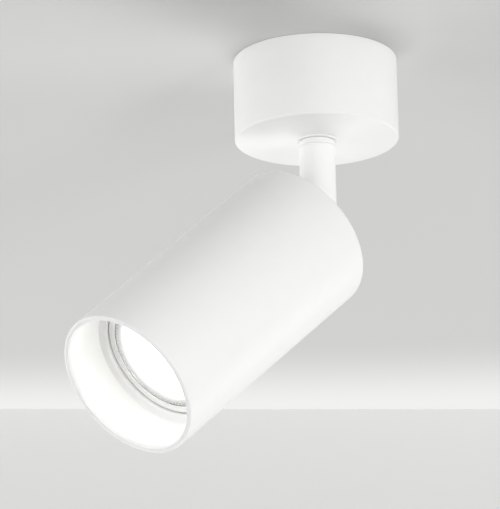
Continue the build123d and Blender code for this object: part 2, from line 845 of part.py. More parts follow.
def pin_slot(turn, half_width, low, high):
    """The curved slot that a lamp pin sweeps on its way from locked to free."""
    sweep_arc = CenterArc((0, 0), pin_circle, turn, lamp_twist)
    return Pos(0, 0, low) * extrude(SlotArc(sweep_arc, 2 * half_width), amount=high - low)


def make_lampholder_body():
    low = holder_face - holder_front_height
    body = holder_body(low, holder_face)
    body = chamfer(body.edges().group_by(Axis.Z)[-1], holder_edge_radius / 3)
    chamber_high = holder_face - holder_plate
    chamber_low = holder_face - holder_chamber_floor
    entry_turn = math.radians(lamp_twist)
    screw_end = holder_sheet_rear + holder_sheet + holder_screw_grip
    for turn in (0, 180):
        body -= pin_slot(turn, pin_neck_radius + free_clearance, chamber_low, holder_face + past)
        body -= pin_slot(turn, pin_head_radius + free_clearance, chamber_low, chamber_high)
        sign = 1 if turn == 0 else -1
        entry = rod(pin_head_radius + free_clearance, chamber_low, holder_face + past)
        x = sign * pin_circle * math.cos(entry_turn)
        y = sign * pin_circle * math.sin(entry_turn)
        body -= Pos(x, y, 0) * entry
        wire_hole = rod(lead_radius + free_clearance, low - past, chamber_low + past)
        body -= Pos(sign * pin_circle, 0, 0) * wire_hole
        screw_hole = rod(m3_radius + seat_clearance, low - past, screw_end + flat_gap)
        body -= Pos(sign * holder_screw_x, 0, 0) * screw_hole
    return body


def make_lampholder_cover():
    high = holder_back + holder_cover_height
    cover = holder_body(holder_back, high)
    cover = chamfer(cover.edges().group_by(Axis.Z)[0], holder_edge_radius / 3)
    for side in (-1, 1):
        wire_hole = rod(lead_radius + free_clearance, holder_back - past, high + past)
        screw_hole = rod(m3_radius + seat_clearance, holder_back - past, high + past)
        cover -= Pos(side * pin_circle, 0, 0) * wire_hole
        cover -= Pos(side * holder_screw_x, 0, 0) * screw_hole
    return cover


def make_lampholder_contacts():
    floor = holder_face - holder_chamber_floor
    low = floor + flat_gap
    half = contact_width / 2
    plate = bar(pin_circle - half, pin_circle + half, -half, half, low, low + contact_thickness)
    tail_low = floor - holder_cover_height / 2
    tail = Pos(pin_circle, 0, 0) * rod(lead_radius, tail_low, low + contact_thickness)
    return mirrored_pair(plate + tail)


def make_lampholder_screws():
    head_low = holder_sheet_rear - flat_gap - m3_head_height
    screw = m3_screw(head_low, holder_sheet_rear + holder_sheet + holder_screw_grip)
    return mirrored_pair(Pos(holder_screw_x, 0, 0) * screw)


def make_plate_earth_screw():
    seat = plate_front + flat_gap + earth_tag_thickness + flat_gap
    tip = plate_front - m3_plate_grip
    head_high = seat + m3_head_height
    return Pos(0, plate_screw_y, 0) * turned_over(m3_screw(tip, head_high), tip, head_high)


def make_plate_earth_tag():
    low = plate_front + flat_gap
    high = low + earth_tag_thickness
    barrel_radius = lead_radius + seat_clearance + tag_barrel_wall
    tag = rod(earth_tag_radius, low, high)
    tag += bar(-barrel_radius, barrel_radius, 0, plate_tag_reach, low, high)
    barrel = Pos(0, plate_tag_reach, 0)
    tag += barrel * rod(barrel_radius, low, high + tag_barrel_length)
    tag -= barrel * rod(lead_radius + seat_clearance, high, high + tag_barrel_length + past)
    tag -= rod(m3_radius + seat_clearance, low - past, high + past)
    return Pos(0, plate_screw_y, 0) * tag


def make_head_cable():
    return rod(cable_radius, cable_radius + lead_gap, core_start)


def holder_lead(side, turn):
    """A lead from the cable's end to a contact of the lampholder."""
    start_x, start_y = lead_place(turn)
    end_x = side * pin_circle
    end_z = holder_face - holder_chamber_floor - holder_cover_height / 2 - lead_gap
    points = [
        (start_x, start_y, core_start),
        (start_x, start_y, core_start + 3.7),
        (end_x, 0, holder_back - 5.0),
        (end_x, 0, end_z),
    ]
    return lead(points, lead_radius)


def make_head_live_lead():
    return holder_lead(-1, 150)


def make_head_neutral_lead():
    return holder_lead(1, 30)


def make_head_earth_lead():
    start_x, start_y = lead_place(270)
    tag_y = plate_screw_y + plate_tag_reach
    tag_top = plate_front + earth_tag_thickness + tag_barrel_length
    points = [
        (start_x, start_y, core_start),
        (start_x, start_y, core_start + 3.2),
        (0, -4.6, core_start + 7.0),
        (0, tag_y + 1.8, core_start + 6.4),
        (0, tag_y, core_start + 1.5),
        (0, tag_y, tag_top - tag_barrel_length / 2),
    ]
    return lead(points, lead_radius)


# ---- Baffle, in the head's frame ----------------------------------------------------------


def o_ring_place():
    """The radius and height of the middle of the o-ring's section."""
    return baffle_radius - o_ring_radius, baffle_rear + 2 * o_ring_radius


def make_baffle():
    corner = head_front - baffle_corner_depth
    edge = baffle_edge_chamfer
    baffle = turned(
        [
            (baffle_radius, baffle_rear),
            (baffle_radius, head_front - edge),
            (baffle_radius - edge, head_front),
            (baffle_bore_radius + edge, head_front),
            (baffle_bore_radius, head_front - edge),
            (baffle_bore_radius, corner),
            (baffle_throat_radius, lamp_front),
            (baffle_throat_radius, baffle_rear),
        ]
    )
    radius, height = o_ring_place()
    groove = o_ring_radius + o_ring_groove_play
    floor = radius - o_ring_radius - o_ring_groove_play
    return baffle - ring(baffle_radius + past, floor, height - groove, height + groove)


def make_baffle_o_ring():
    radius, height = o_ring_place()
    return Pos(0, 0, height) * Torus(radius, o_ring_radius)


# ---- Lamp, in the head's frame ------------------------------------------------------------


def lamp_shell(offset):
    """The lamp housing's side, drawn in by an offset, from its rim back to its neck."""
    rim_low = lamp_front - lamp_bezel_depth - lamp_rim_depth
    cone_low = lamp_base_bottom + lamp_neck_length
    return [
        (lamp_radius - offset, lamp_front - lamp_bezel_depth - flat_gap),
        (lamp_radius - offset, rim_low),
        (lamp_cone_radius - offset, cone_low + flat_gap),
    ]


def make_lamp_housing():
    outside = lamp_shell(0)
    inside = lamp_shell(lamp_wall)
    return turned(outside + inside[::-1])


def make_lamp_bezel():
    low = lamp_front - lamp_bezel_depth
    inner = lamp_radius - lamp_bezel_width
    bezel = ring(lamp_radius, inner, low, lamp_front)
    return chamfer(bezel.edges().group_by(Axis.Z)[-1], lamp_bezel_edge)


def make_lamp_lens():
    high = lamp_front - lamp_lens_recess
    return rod(lamp_radius - lamp_bezel_width - seat_clearance, high - lamp_lens_thickness, high)


def optic_high():
    """The height of the optic's front face."""
    return lamp_front - lamp_lens_recess - lamp_lens_thickness - flat_gap


def make_lamp_optic():
    high = optic_high()
    low = high - lamp_optic_height
    return turned([(0, low), (lamp_optic_back_radius, low), (lamp_optic_radius, high), (0, high)])


def board_high():
    """The height of the board's front face."""
    return optic_high() - lamp_optic_height - led_height - 2 * flat_gap


def make_lamp_led_board():
    return rod(lamp_board_radius, board_high() - lamp_board_thickness, board_high())


def make_lamp_leds():
    low = board_high() + flat_gap
    chip = bar(-led_side / 2, led_side / 2, -led_side / 2, led_side / 2, low, low + led_height)
    chips = [Rot(0, 0, i * 360 / led_count) * Pos(led_circle, 0, 0) * chip for i in range(led_count)]
    return group(chips)


def make_lamp_heat_sink():
    high = board_high() - lamp_board_thickness - flat_gap
    low = high - heat_sink_height
    rim_low = lamp_front - lamp_bezel_depth - lamp_rim_depth
    cone_low = lamp_base_bottom + lamp_neck_length
    slope = (lamp_radius - lamp_cone_radius) / (rim_low - cone_low)
    low_radius = lamp_cone_radius + (low - cone_low) * slope - lamp_wall - free_clearance
    high_radius = lamp_cone_radius + (high - cone_low) * slope - lamp_wall - free_clearance
    return turned([(0, low), (low_radius, low), (high_radius, high), (0, high)])


def make_lamp_driver_board():
    high = board_high() - lamp_board_thickness - heat_sink_height - 3 * flat_gap
    half = driver_width / 2
    thick = driver_thickness / 2
    return bar(-half, half, -thick, thick, high - driver_height, high)


def make_lamp_base():
    high = lamp_base_bottom + lamp_neck_length
    base = rod(lamp_neck_radius, lamp_base_bottom, high)
    base = chamfer(base.edges().group_by(Axis.Z)[0], lamp_wall / 2)
    base -= rod(lamp_neck_radius - lamp_wall, lamp_base_bottom + pin_root, high + past)
    base += ring(lamp_cone_radius, lamp_neck_radius - lamp_wall, high - lamp_wall, high)
    seat_high = lamp_base_bottom + pin_root + past
    seat = rod(pin_neck_radius + seat_clearance, lamp_base_bottom - past, seat_high)
    for side in (-1, 1):
        base -= Pos(side * pin_circle, 0, 0) * seat
    return base


def make_lamp_pins():
    head_high = lamp_base_bottom - pin_neck_length
    pin = rod(pin_head_radius, head_high - pin_head_height, head_high)
    pin = chamfer(pin.edges(), pin_neck_radius / 3)
    pin += rod(pin_neck_radius, head_high - past, lamp_base_bottom + pin_root)
    return mirrored_pair(Pos(pin_circle, 0, 0) * pin)


# ---- All pieces ---------------------------------------------------------------------------

fixed_pieces = {
    "canopy": make_canopy,
    "ceiling_bracket": make_ceiling_bracket,
    "canopy_screw": make_canopy_screw,
    "terminal_block": make_terminal_block,
    "terminal_clamps": make_terminal_clamps,
    "terminal_screws": make_terminal_screws,
    "block_screw": make_block_screw,
    "earth_screw": make_earth_screw,
    "earth_washer": make_earth_washer,
    "earth_tag": make_earth_tag,
    "canopy_live_lead": make_canopy_live_lead,
    "canopy_neutral_lead": make_canopy_neutral_lead,
    "canopy_earth_lead": make_canopy_earth_lead,
    "pan_stop_pin": make_pan_stop_pin,
    "glide_washer": make_glide_washer,
    "inner_washer": make_inner_washer,
    "stem": make_stem,
    "stem_collar": make_stem_collar,
    "disc_spring": make_disc_spring,
    "pan_stop_washer": make_pan_stop_washer,
    "pan_nut": make_pan_nut,
    "neck_bush": make_neck_bush,
    "stem_cable": make_stem_cable,
}

tilted_pieces = {
    "swivel_post": make_swivel_post,
    "tilt_washers": make_tilt_washers,
    "tilt_screws": make_tilt_screws,
    "head_tube": make_head_tube,
    "rear_plate": make_rear_plate,
    "snap_ring": make_snap_ring,
    "post_washer": make_post_washer,
    "post_nut": make_post_nut,
    "lampholder_bracket": make_lampholder_bracket,
    "bracket_screws": make_bracket_screws,
    "lampholder_body": make_lampholder_body,
    "lampholder_cover": make_lampholder_cover,
    "lampholder_contacts": make_lampholder_contacts,
    "lampholder_screws": make_lampholder_screws,
    "plate_earth_screw": make_plate_earth_screw,
    "plate_earth_tag": make_plate_earth_tag,
    "head_cable": make_head_cable,
    "head_live_lead": make_head_live_lead,
    "head_neutral_lead": make_head_neutral_lead,
    "head_earth_lead": make_head_earth_lead,
    "baffle": make_baffle,
    "baffle_o_ring": make_baffle_o_ring,
    "lamp_housing": make_lamp_housing,
    "lamp_bezel": make_lamp_bezel,
    "lamp_lens": make_lamp_lens,
    "lamp_optic": make_lamp_optic,
    "lamp_led_board": make_lamp_led_board,
    "lamp_leds": make_lamp_leds,
    "lamp_heat_sink": make_lamp_heat_sink,
    "lamp_driver_board": make_lamp_driver_board,
    "lamp_base": make_lamp_base,
    "lamp_pins": make_lamp_pins,
}

os.makedirs("parts", exist_ok=True)
for node, make in fixed_pieces.items():
    export_step(make(), f"parts/{node}.step")
for node, make in tilted_pieces.items():
    export_step(head_frame * make(), f"parts/{node}.step")
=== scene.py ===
import json
import math
from typing import NamedTuple

import bmesh
import bpy
from bpy.props import FloatProperty, FloatVectorProperty, IntProperty, PointerProperty
from mathutils import Matrix, Vector


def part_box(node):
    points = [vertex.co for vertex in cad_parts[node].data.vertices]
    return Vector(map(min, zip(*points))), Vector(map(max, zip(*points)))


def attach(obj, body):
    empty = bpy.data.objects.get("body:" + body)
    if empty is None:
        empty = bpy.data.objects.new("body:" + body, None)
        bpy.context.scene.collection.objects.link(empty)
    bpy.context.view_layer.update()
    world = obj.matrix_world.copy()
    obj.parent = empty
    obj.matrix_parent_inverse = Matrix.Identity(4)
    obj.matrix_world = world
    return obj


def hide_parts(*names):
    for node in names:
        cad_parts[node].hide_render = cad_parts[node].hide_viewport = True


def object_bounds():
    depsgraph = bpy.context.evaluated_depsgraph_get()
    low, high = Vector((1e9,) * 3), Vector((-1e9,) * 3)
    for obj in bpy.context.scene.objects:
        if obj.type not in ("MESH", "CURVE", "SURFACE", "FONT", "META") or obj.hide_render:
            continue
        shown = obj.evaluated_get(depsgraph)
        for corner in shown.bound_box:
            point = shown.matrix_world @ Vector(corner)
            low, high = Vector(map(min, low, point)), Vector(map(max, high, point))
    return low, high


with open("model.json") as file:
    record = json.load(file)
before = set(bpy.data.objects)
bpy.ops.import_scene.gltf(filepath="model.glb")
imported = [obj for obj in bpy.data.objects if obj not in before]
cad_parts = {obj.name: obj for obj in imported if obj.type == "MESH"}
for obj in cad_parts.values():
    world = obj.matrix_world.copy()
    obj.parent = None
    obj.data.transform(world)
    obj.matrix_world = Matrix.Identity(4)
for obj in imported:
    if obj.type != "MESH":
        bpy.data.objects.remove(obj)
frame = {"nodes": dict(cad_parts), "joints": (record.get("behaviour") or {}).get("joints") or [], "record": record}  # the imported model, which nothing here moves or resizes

bl_info = {
    "name": "Ceiling Spotlight",
    "version": (1, 0, 0),
    "blender": (4, 5, 0),
    "location": "View3D > Sidebar > Spotlight",
    "description": "Builds the finish and the fine shapes of a surface mounted ceiling spotlight",
    "category": "Object",
}

# Lengths are metres. The row frame has the ceiling face's middle as its origin and +Z up. Head
# pieces are drawn in the head's frame: origin at the tilt pivot, Z forward along the head's axis
# and X along the tilt axis.

CAD_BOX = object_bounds()
JOINTS = {joint["name"]: joint for joint in frame["joints"]}
ROW = Matrix.Identity(4)

ROUND_STEPS = 5  # points on each rounded corner of a profile
SHARP_DEGREES = 35  # edges that bend more than this look sharp
WELD_DISTANCE = 1e-7
DRILL_FACETS = 48
RING_PLAY = 0.00005  # room round the snap ring and behind the baffle
GROOVE_PLAY = 0.0001  # room round the o-ring


def head_frame():
    """The matrix from the head's frame to the row frame."""
    forward = Vector(JOINTS["lamp_twist"]["axis"]).normalized()
    across = Vector((1, 0, 0))
    turn = Matrix((across, forward.cross(across), forward)).transposed().to_4x4()
    return Matrix.Translation(Vector(JOINTS["tilt"]["pos_m"])) @ turn


HEAD = head_frame()


def extent(node, place=ROW):
    """A node's lowest height, highest height and largest radius about Z of a frame."""
    back = place.inverted()
    points = [back @ v.co for v in frame["nodes"][node].data.vertices]
    heights = [p.z for p in points]
    return min(heights), max(heights), max(math.hypot(p.x, p.y) for p in points)


# ---- What a user may change ---------------------------------------------------------------


def length(title, about, value):
    """A length property, in metres."""
    return FloatProperty(
        name=title, description=about, default=value, min=0.0, precision=5, unit="LENGTH", subtype="DISTANCE"
    )


def colour(title, about, value):
    """A colour property."""
    return FloatVectorProperty(
        name=title, description=about, default=value, min=0.0, max=1.0, size=3, subtype="COLOR"
    )


def angle(title, about, degrees):
    """An angle property, given in degrees."""
    return FloatProperty(
        name=title, description=about, default=math.radians(degrees), unit="ROTATION", subtype="ANGLE"
    )


def count(title, about, value):
    """A whole number property."""
    return IntProperty(name=title, description=about, default=value, min=3)


def number(title, about, value, least=0.0):
    """A plain number property."""
    return FloatProperty(name=title, description=about, default=value, min=least)


class SpotlightSizes(bpy.types.PropertyGroup):
    """Walls, roundings and fine details of the pieces."""

    facets: count("Facets", "Sides of a full turn on the large round pieces", 192)
    small_facets: count("Small facets", "Sides of a full turn on washers and nuts", 96)
    canopy_wall: length("Canopy wall", "Thickness of the canopy's side", 0.002)
    canopy_floor: length("Canopy floor", "Thickness of the canopy's underside", 0.0025)
    canopy_rim_round: length("Canopy rim", "Rounding of the rim at the ceiling", 0.0004)
    canopy_edge_round: length("Canopy edge", "Rounding of the lower edge", 0.0008)
    neck_hole: length("Neck hole", "Radius of the hole for the stem's neck", 0.00505)
    screw_hole: length("Screw hole", "Radius of the hole for the canopy screw", 0.00205)
    pin_seat: length("Pin seat", "Radius of the stop pin's seat", 0.0013)
    pin_seat_depth: length("Pin seat depth", "Depth of the stop pin's seat", 0.0017)
    pocket_depth: length("Hook pocket", "Depth of the hook's pocket in the canopy's wall", 0.001)
    pocket_play: length("Pocket play", "Room round the bracket's hook", 0.0004)
    tube_wall: length("Tube wall", "Thickness of the head tube", 0.0025)
    tube_rear_round: length("Tube rear edge", "Rounding of the head's rear edge", 0.0012)
    tube_front_round: length("Tube front edge", "Rounding of the head's front edge", 0.0005)
    lip_width: length("Rear lip", "Width of the inward lip at the rear", 0.0037)
    lip_thickness: length("Rear lip thickness", "Thickness of the rear lip", 0.0015)
    fine_round: length("Fine edge", "Rounding of edges that look sharp", 0.00015)
    baffle_wall: length("Baffle wall", "Thickness of the baffle's side", 0.0013)
    baffle_corner: length("Baffle corner", "Depth of the corner where the shoulder starts", 0.018)
    baffle_slope: length("Baffle slope", "Fall of the shoulder above the throat", 0.0017)
    baffle_shoulder: length("Baffle shoulder", "Rounding of the shoulder above the throat", 0.002)
    baffle_chamfer: length("Baffle chamfer", "Width of the chamfer at the mouth", 0.0006)
    baffle_gap: length("Lamp gap", "Gap between the baffle's throat and the lamp", 0.0004)
    o_ring_radius: length("O-ring", "Radius of the o-ring's section", 0.0006)
    bezel_width: length("Bezel width", "Width of the lamp's front ring", 0.0022)
    bezel_lip: length("Bezel lip", "How far the front ring's lip covers the lens", 0.0004)
    bezel_lip_thickness: length("Bezel lip thickness", "Thickness of the front ring's lip", 0.00035)
    lens_prisms: count("Lens prisms", "Moulded prisms round the lens", 90)
    prism_relief: length("Prism relief", "Height of the lens prisms", 0.00022)
    prism_inner: length("Prism ring", "Inner radius of the ring of prisms", 0.0181)
    lamp_wall: length("Lamp wall", "Thickness of the lamp's housing", 0.0012)
    lamp_rim_height: length("Lamp rim height", "Height of the rim over the lamp's cone", 0.00745)
    lamp_ribs: count("Lamp ribs", "Cooling ribs round the lamp's cone", 30)
    rib_relief: length("Rib relief", "Depth of the grooves between the ribs", 0.0006)
    nut_flats: length("Nut", "Width of the thin nuts across their flats", 0.014)
    nut_bore: length("Nut bore", "Radius of the thin nuts' bore", 0.00505)
    nut_chamfer: length("Nut chamfer", "Chamfer of the thin nuts", 0.0005)
    washer_bore: length("Washer bore", "Radius of the earth lock washer's bore", 0.00205)
    washer_teeth: count("Washer teeth", "Teeth of the lock washers", 12)
    washer_sheet: length("Washer sheet", "Thickness of the lock washers' sheet", 0.0005)
    spring_sheet: length("Spring sheet", "Thickness of the disc spring's sheet", 0.0005)
    lead_radius: length("Lead radius", "Radius of a lead over its insulation", 0.00095)


class SpotlightColours(bpy.types.PropertyGroup):
    """Colours of the finishes, in linear light."""

    coat: colour("Powder coat", "White coat of the casings", (0.86, 0.86, 0.855))
    nylon: colour("Nylon", "Washers and bushes", (0.82, 0.82, 0.81))
    zinc: colour("Zinc plate", "Bracket, nuts and washers", (0.62, 0.63, 0.65))
    spring: colour("Spring steel", "Blackened spring and snap ring", (0.12, 0.12, 0.125))
    screw: colour("Screws", "Nickel plated screws", (0.66, 0.65, 0.63))
    brass: colour("Brass", "Terminal clamps", (0.72, 0.53, 0.24))
    tin: colour("Tin plate", "Tags and contacts", (0.7, 0.69, 0.66))
    block: colour("Block", "Moulded terminal block", (0.78, 0.78, 0.74))
    steatite: colour("Steatite", "Ceramic of the lampholder", (0.82, 0.8, 0.74))
    sleeve: colour("Sleeve", "Cable sleeve", (0.8, 0.8, 0.78))
    live: colour("Live", "Insulation of the live lead", (0.16, 0.06, 0.025))
    neutral: colour("Neutral", "Insulation of the neutral lead", (0.03, 0.12, 0.42))
    earth: colour("Earth", "Insulation of the earth lead", (0.09, 0.34, 0.06))
    earth_stripe: colour("Earth stripe", "Stripe of the earth lead", (0.78, 0.66, 0.05))
    rubber: colour("Rubber", "O-ring", (0.72, 0.72, 0.7))
    lamp: colour("Lamp body", "Moulded body of the lamp", (0.83, 0.83, 0.82))
    lamp_rim: colour("Lamp rim", "Front ring of the lamp", (0.88, 0.88, 0.87))
    lens: colour("Lens", "Clear cover of the lamp", (0.97, 0.98, 0.98))
    optic: colour("Optic", "Lens cells behind the cover", (0.9, 0.9, 0.88))
    glow: colour("Glow", "Light of the lamp", (1.0, 0.985, 0.96))
    solder_mask: colour("White board", "Solder mask of the board behind the optic", (0.8, 0.8, 0.79))
    phosphor: colour("Phosphor", "Faces of the light sources", (0.85, 0.62, 0.08))
    aluminium: colour("Aluminium", "Cast heat sink", (0.7, 0.7, 0.71))
    board: colour("Green board", "Circuit board in the lamp's neck", (0.02, 0.13, 0.045))
    traces: colour("Traces", "Copper traces under the green mask", (0.05, 0.24, 0.08))


class SpotlightStage(bpy.types.PropertyGroup):
    """Camera, lights, the plain wall and the ceiling, which has painted light towards the wall."""

    azimuth: angle("Azimuth", "Where the camera stands, from -Y towards +X", 53.7)
    elevation: angle("Elevation", "How far the camera looks up", 17.6)
    roll: angle("Roll", "Turn of the camera about its own axis", -1.24)
    distance: length("Distance", "From the camera to the canopy's underside", 1.92)
    lens: number("Lens", "Focal length in millimetres", 347.8, 1.0)
    anchor_x: number("Anchor X", "Picture column of the canopy's underside", 316.9)
    anchor_y: number("Anchor Y", "Picture row of the canopy's underside", 140.4)
    wall_distance: length("Wall distance", "From the pan axis to the wall behind", 0.502)
    wall_turn: angle("Wall turn", "Turn of the wall from square to the camera", 4.76)
    ambient: number("Ambient", "Strength of the surrounding light", 0.3)
    light: number("Light", "Strength of all the lamps", 1.0)
    ceiling_colour: colour("Ceiling", "Colour of the plain ceiling", (0.63, 0.63, 0.625))
    # painted light: the ceiling's colour is made paler towards the wall, standing in for a bright band of
    # light there
    painted_light_tone: number("Painted light tone", "How much paler the ceiling is at the wall", 1.36)
    painted_light_start: length("Painted light start", "Where the ceiling starts to pale, from the pan axis", 0.385)
    painted_light_end: length("Painted light end", "Where it is palest", 0.5)
    ceiling_radius: length("Ceiling radius", "Reach of the plain ceiling", 1.8)
    wall_reach: length("Wall reach", "Reach of the plain wall to each side", 0.9)
    wall_drop: length("Wall drop", "Height of the plain wall", 2.0)
    wall_colour: colour("Wall", "Colour of the plain wall", (0.735, 0.735, 0.73))
    background: colour("Background", "Colour behind everything", (0.66, 0.66, 0.655))


# ---- Meshes -------------------------------------------------------------------------------


def rounded(corners, steps=ROUND_STEPS):
    """Outline points from (radius, height, rounding) corners of a closed outline."""
    points = []
    for i, (radius, height, rounding) in enumerate(corners):
        corner = Vector((radius, height))
        if rounding == 0:
            points.append(corner)
            continue
        before = (Vector(corners[i - 1][:2]) - corner).normalized()
        after = (Vector(corners[(i + 1) % len(corners)][:2]) - corner).normalized()
        half = before.angle(after) / 2
        middle = corner + (before + after).normalized() * rounding / math.sin(half)
        first = corner + before * rounding / math.tan(half) - middle
        last = corner + after * rounding / math.tan(half) - middle
        sweep = first.angle_signed(last)
        for step in range(steps + 1):
            points.append(middle + Matrix.Rotation(-sweep * step / steps, 2) @ first)
    return points


def weld(mesh, sharp=SHARP_DEGREES):
    """Joins points that fall together, turns faces outward and marks the sharp edges."""
    builder = bmesh.new()
    builder.from_mesh(mesh)
    bmesh.ops.remove_doubles(builder, verts=builder.verts, dist=WELD_DISTANCE)
    bmesh.ops.recalc_face_normals(builder, faces=builder.faces)
    builder.to_mesh(mesh)
    builder.free()
    for polygon in mesh.polygons:
        polygon.use_smooth = True
    mesh.set_sharp_from_angle(angle=math.radians(sharp))


def mesh_object(name, vertices, faces, place, sharp=SHARP_DEGREES):
    """A new object from vertices in a frame, smooth but for its sharp edges."""
    mesh = bpy.data.meshes.new(name)
    mesh.from_pydata([place @ v for v in vertices], [], faces)
    weld(mesh, sharp)
    piece = bpy.data.objects.new(name, mesh)
    bpy.context.scene.collection.objects.link(piece)
    return piece


def turns_of(facets):
    """The angles of a full turn's facets."""
    return [2 * math.pi * i / facets for i in range(facets)]


def skin(rings, n, closed=False):
    """The faces between rings of n points each; closed joins the last ring to the first."""
    pairs = [(i, (i + 1) % rings) for i in range(rings if closed else rings - 1)]
    return [
        (a * n + j, a * n + (j + 1) % n, b * n + (j + 1) % n, b * n + j) for a, b in pairs for j in range(n)
    ]


def loft(name, rings, place, closed=False, sharp=SHARP_DEGREES):
    """A skin through rings of as many points each, capped at both ends or joined end to end."""
    n = len(rings[0])
    vertices = [point for ring in rings for point in ring]
    faces = skin(len(rings), n, closed)
    if not closed:
        faces += [tuple(range(n)), tuple(range(len(vertices) - n, len(vertices)))]
    return mesh_object(name, vertices, faces, place, sharp)


def lathe(name, outline, place, facets):
    """A closed outline of (radius, height) points turned about Z of a frame."""
    rings = [
        [Vector((p.x * math.cos(t), p.x * math.sin(t), p.y)) for p in outline] for t in turns_of(facets)
    ]
    return loft(name, rings, place, closed=True)


def ring_at(height, radius, facets):
    """A ring of points about Z; the radius may be a function of the turn."""
    turns = turns_of(facets)
    radii = [radius(turn) if callable(radius) else radius for turn in turns]
    return [Vector((r * math.cos(t), r * math.sin(t), height)) for r, t in zip(radii, turns)]


def cut(piece, cutters):
    """Cuts solids out of a piece, and removes the solids."""
    for cutter in cutters:
        modifier = piece.modifiers.new("cut", "BOOLEAN")
        modifier.operation = "DIFFERENCE"
        modifier.solver = "EXACT"
        modifier.object = cutter
    bpy.context.view_layer.update()
    evaluated = piece.evaluated_get(bpy.context.evaluated_depsgraph_get())
    piece.data = bpy.data.meshes.new_from_object(evaluated)
    piece.modifiers.clear()
    weld(piece.data)
    for cutter in cutters:
        bpy.data.objects.remove(cutter)


def drill(radius, low, high, place):
    """A round cutter along Z of a frame."""
    ends = [ring_at(height, radius, DRILL_FACETS) for height in (low, high)]
    return loft("drill", ends, place)


def bar(name, corners, low, high, place):
    """A straight cutter along Z of a frame, from the (x, y) corners of its section."""
    return loft(name, [[Vector((x, y, z)) for x, y in corners] for z in (low, high)], place)


def stand_for(piece, node, body, slot):
    """A piece takes a node's place: its body, its material slot and its finish."""
    piece.data.materials.clear()
    piece.data.materials.append(finish(slot))
    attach(piece, body)
    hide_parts(node)


# ---- Finishes -----------------------------------------------------------------------------


MIX_FIRST, MIX_SECOND, MIX_RESULT = 6, 7, 2  # the colour sockets of a mix node
NOISE_SPAN = (0.3, 0.7)  # where most of a noise's values lie
BROAD = 12  # how much larger the clouds of colour are than the grain


def new_node(tree, kind, **values):
    """A shader node with some of its inputs or settings given."""
    node = tree.nodes.new(kind)
    for key, value in values.items():
        if key in node.inputs:
            node.inputs[key].default_value = value
        else:
            setattr(node, key, value)
    return node


def start_finish(slot):
    """A new material with a bare shader: the material, its tree and its shader."""
    material = bpy.data.materials.new(slot + "_finish")
    material.use_nodes = True
    tree = material.node_tree
    return material, tree, tree.nodes["Principled BSDF"]


def grain(tree, scale, detail=2.0, stretch=(1, 1, 1)):
    """A noise that is fixed to the piece: features of about 1 / scale metres."""
    where = new_node(tree, "ShaderNodeTexCoord")
    mapping = new_node(tree, "ShaderNodeMapping")
    mapping.inputs["Scale"].default_value = stretch
    noise = new_node(tree, "ShaderNodeTexNoise", Scale=scale, Detail=detail)
    tree.links.new(where.outputs["Object"], mapping.inputs["Vector"])
    tree.links.new(mapping.outputs["Vector"], noise.inputs["Vector"])
    return noise.outputs["Fac"]


def mapped(tree, value, span, result, curve="LINEAR"):
    """A value mapped from one range to another, and held inside it."""
    node = new_node(tree, "ShaderNodeMapRange", interpolation_type=curve)
    node.inputs["From Min"].default_value, node.inputs["From Max"].default_value = span
    node.inputs["To Min"].default_value, node.inputs["To Max"].default_value = result
    tree.links.new(value, node.inputs["Value"])
    return node.outputs["Result"]


def spread(tree, value, low, high):
    """A noise, which seldom leaves its middle, spread over a range."""
    return mapped(tree, value, NOISE_SPAN, (low, high))


def blend_colours(tree, value, first, second):
    """A colour between two, by a value from 0 to 1; the first may be another node's output."""
    node = new_node(tree, "ShaderNodeMix", data_type="RGBA")
    if isinstance(first, bpy.types.NodeSocket):
        tree.links.new(first, node.inputs[MIX_FIRST])
    else:
        node.inputs[MIX_FIRST].default_value = (*first, 1)
    node.inputs[MIX_SECOND].default_value = (*second, 1)
    tree.links.new(value, node.inputs["Factor"])
    return node.outputs[MIX_RESULT]


def paint_over(material, value, second):
    """Lays a second colour over a finish's own colour, by a value from 0 to 1."""
    tree = material.node_tree
    socket = tree.nodes["Principled BSDF"].inputs["Base Color"]
    mixed = blend_colours(tree, value, socket.links[0].from_socket, second)
    tree.links.new(mixed, socket)


def lit(shader, colours, strength=None):
    """Gives a shader the lamp's light."""
    shader.inputs["Emission Color"].default_value = (*colours.glow, 1)
    if strength:
        shader.inputs["Emission Strength"].default_value = strength


def relief(tree, shader, value, depth, rounding=0.0):
    """Small relief from a value, over edges that may be softened."""
    bump = new_node(tree, "ShaderNodeBump", Strength=1.0, Distance=depth)
    tree.links.new(value, bump.inputs["Height"])
    if rounding:
        soft = new_node(tree, "ShaderNodeBevel", samples=4, Radius=rounding)
        tree.links.new(soft.outputs["Normal"], bump.inputs["Normal"])
    tree.links.new(bump.outputs["Normal"], shader.inputs["Normal"])


def shaded(colour_value, share):
    """A colour a little darker or lighter."""
    return tuple(min(1.0, c * share) for c in colour_value)


def textured(slot, base, rough, scale, depth, metal=0.0, shift=0.06, stretch=(1, 1, 1), rounding=0.0):
    """A finish with fine relief, and colour and gloss that vary a little over the surface.

    rough is the range of the roughness, scale the grain's features per metre, depth its relief
    and shift the share by which the colour varies.
    """
    material, tree, shader = start_finish(slot)
    shader.inputs["Metallic"].default_value = metal
    fine = grain(tree, scale, 3.0, stretch)
    broad = grain(tree, scale / BROAD, 2.0, stretch)
    mixed = blend_colours(tree, broad, shaded(base, 1 - shift), shaded(base, 1 + shift))
    tree.links.new(mixed, shader.inputs["Base Color"])
    tree.links.new(spread(tree, fine, *rough), shader.inputs["Roughness"])
    relief(tree, shader, fine, depth, rounding)
    return material


def white_coat(colours):
    """Matte white powder coat with a fine orange peel."""
    return textured("white_coat", colours.coat, (0.42, 0.56), 2200, 6e-6, shift=0.012, rounding=0.0002)


def white_nylon(colours):
    """Moulded nylon, a little waxy."""
    material = textured("white_nylon", colours.nylon, (0.34, 0.46), 3000, 3e-6, shift=0.02, rounding=0.0001)
    material.node_tree.nodes["Principled BSDF"].inputs["Coat Weight"].default_value = 0.15
    return material


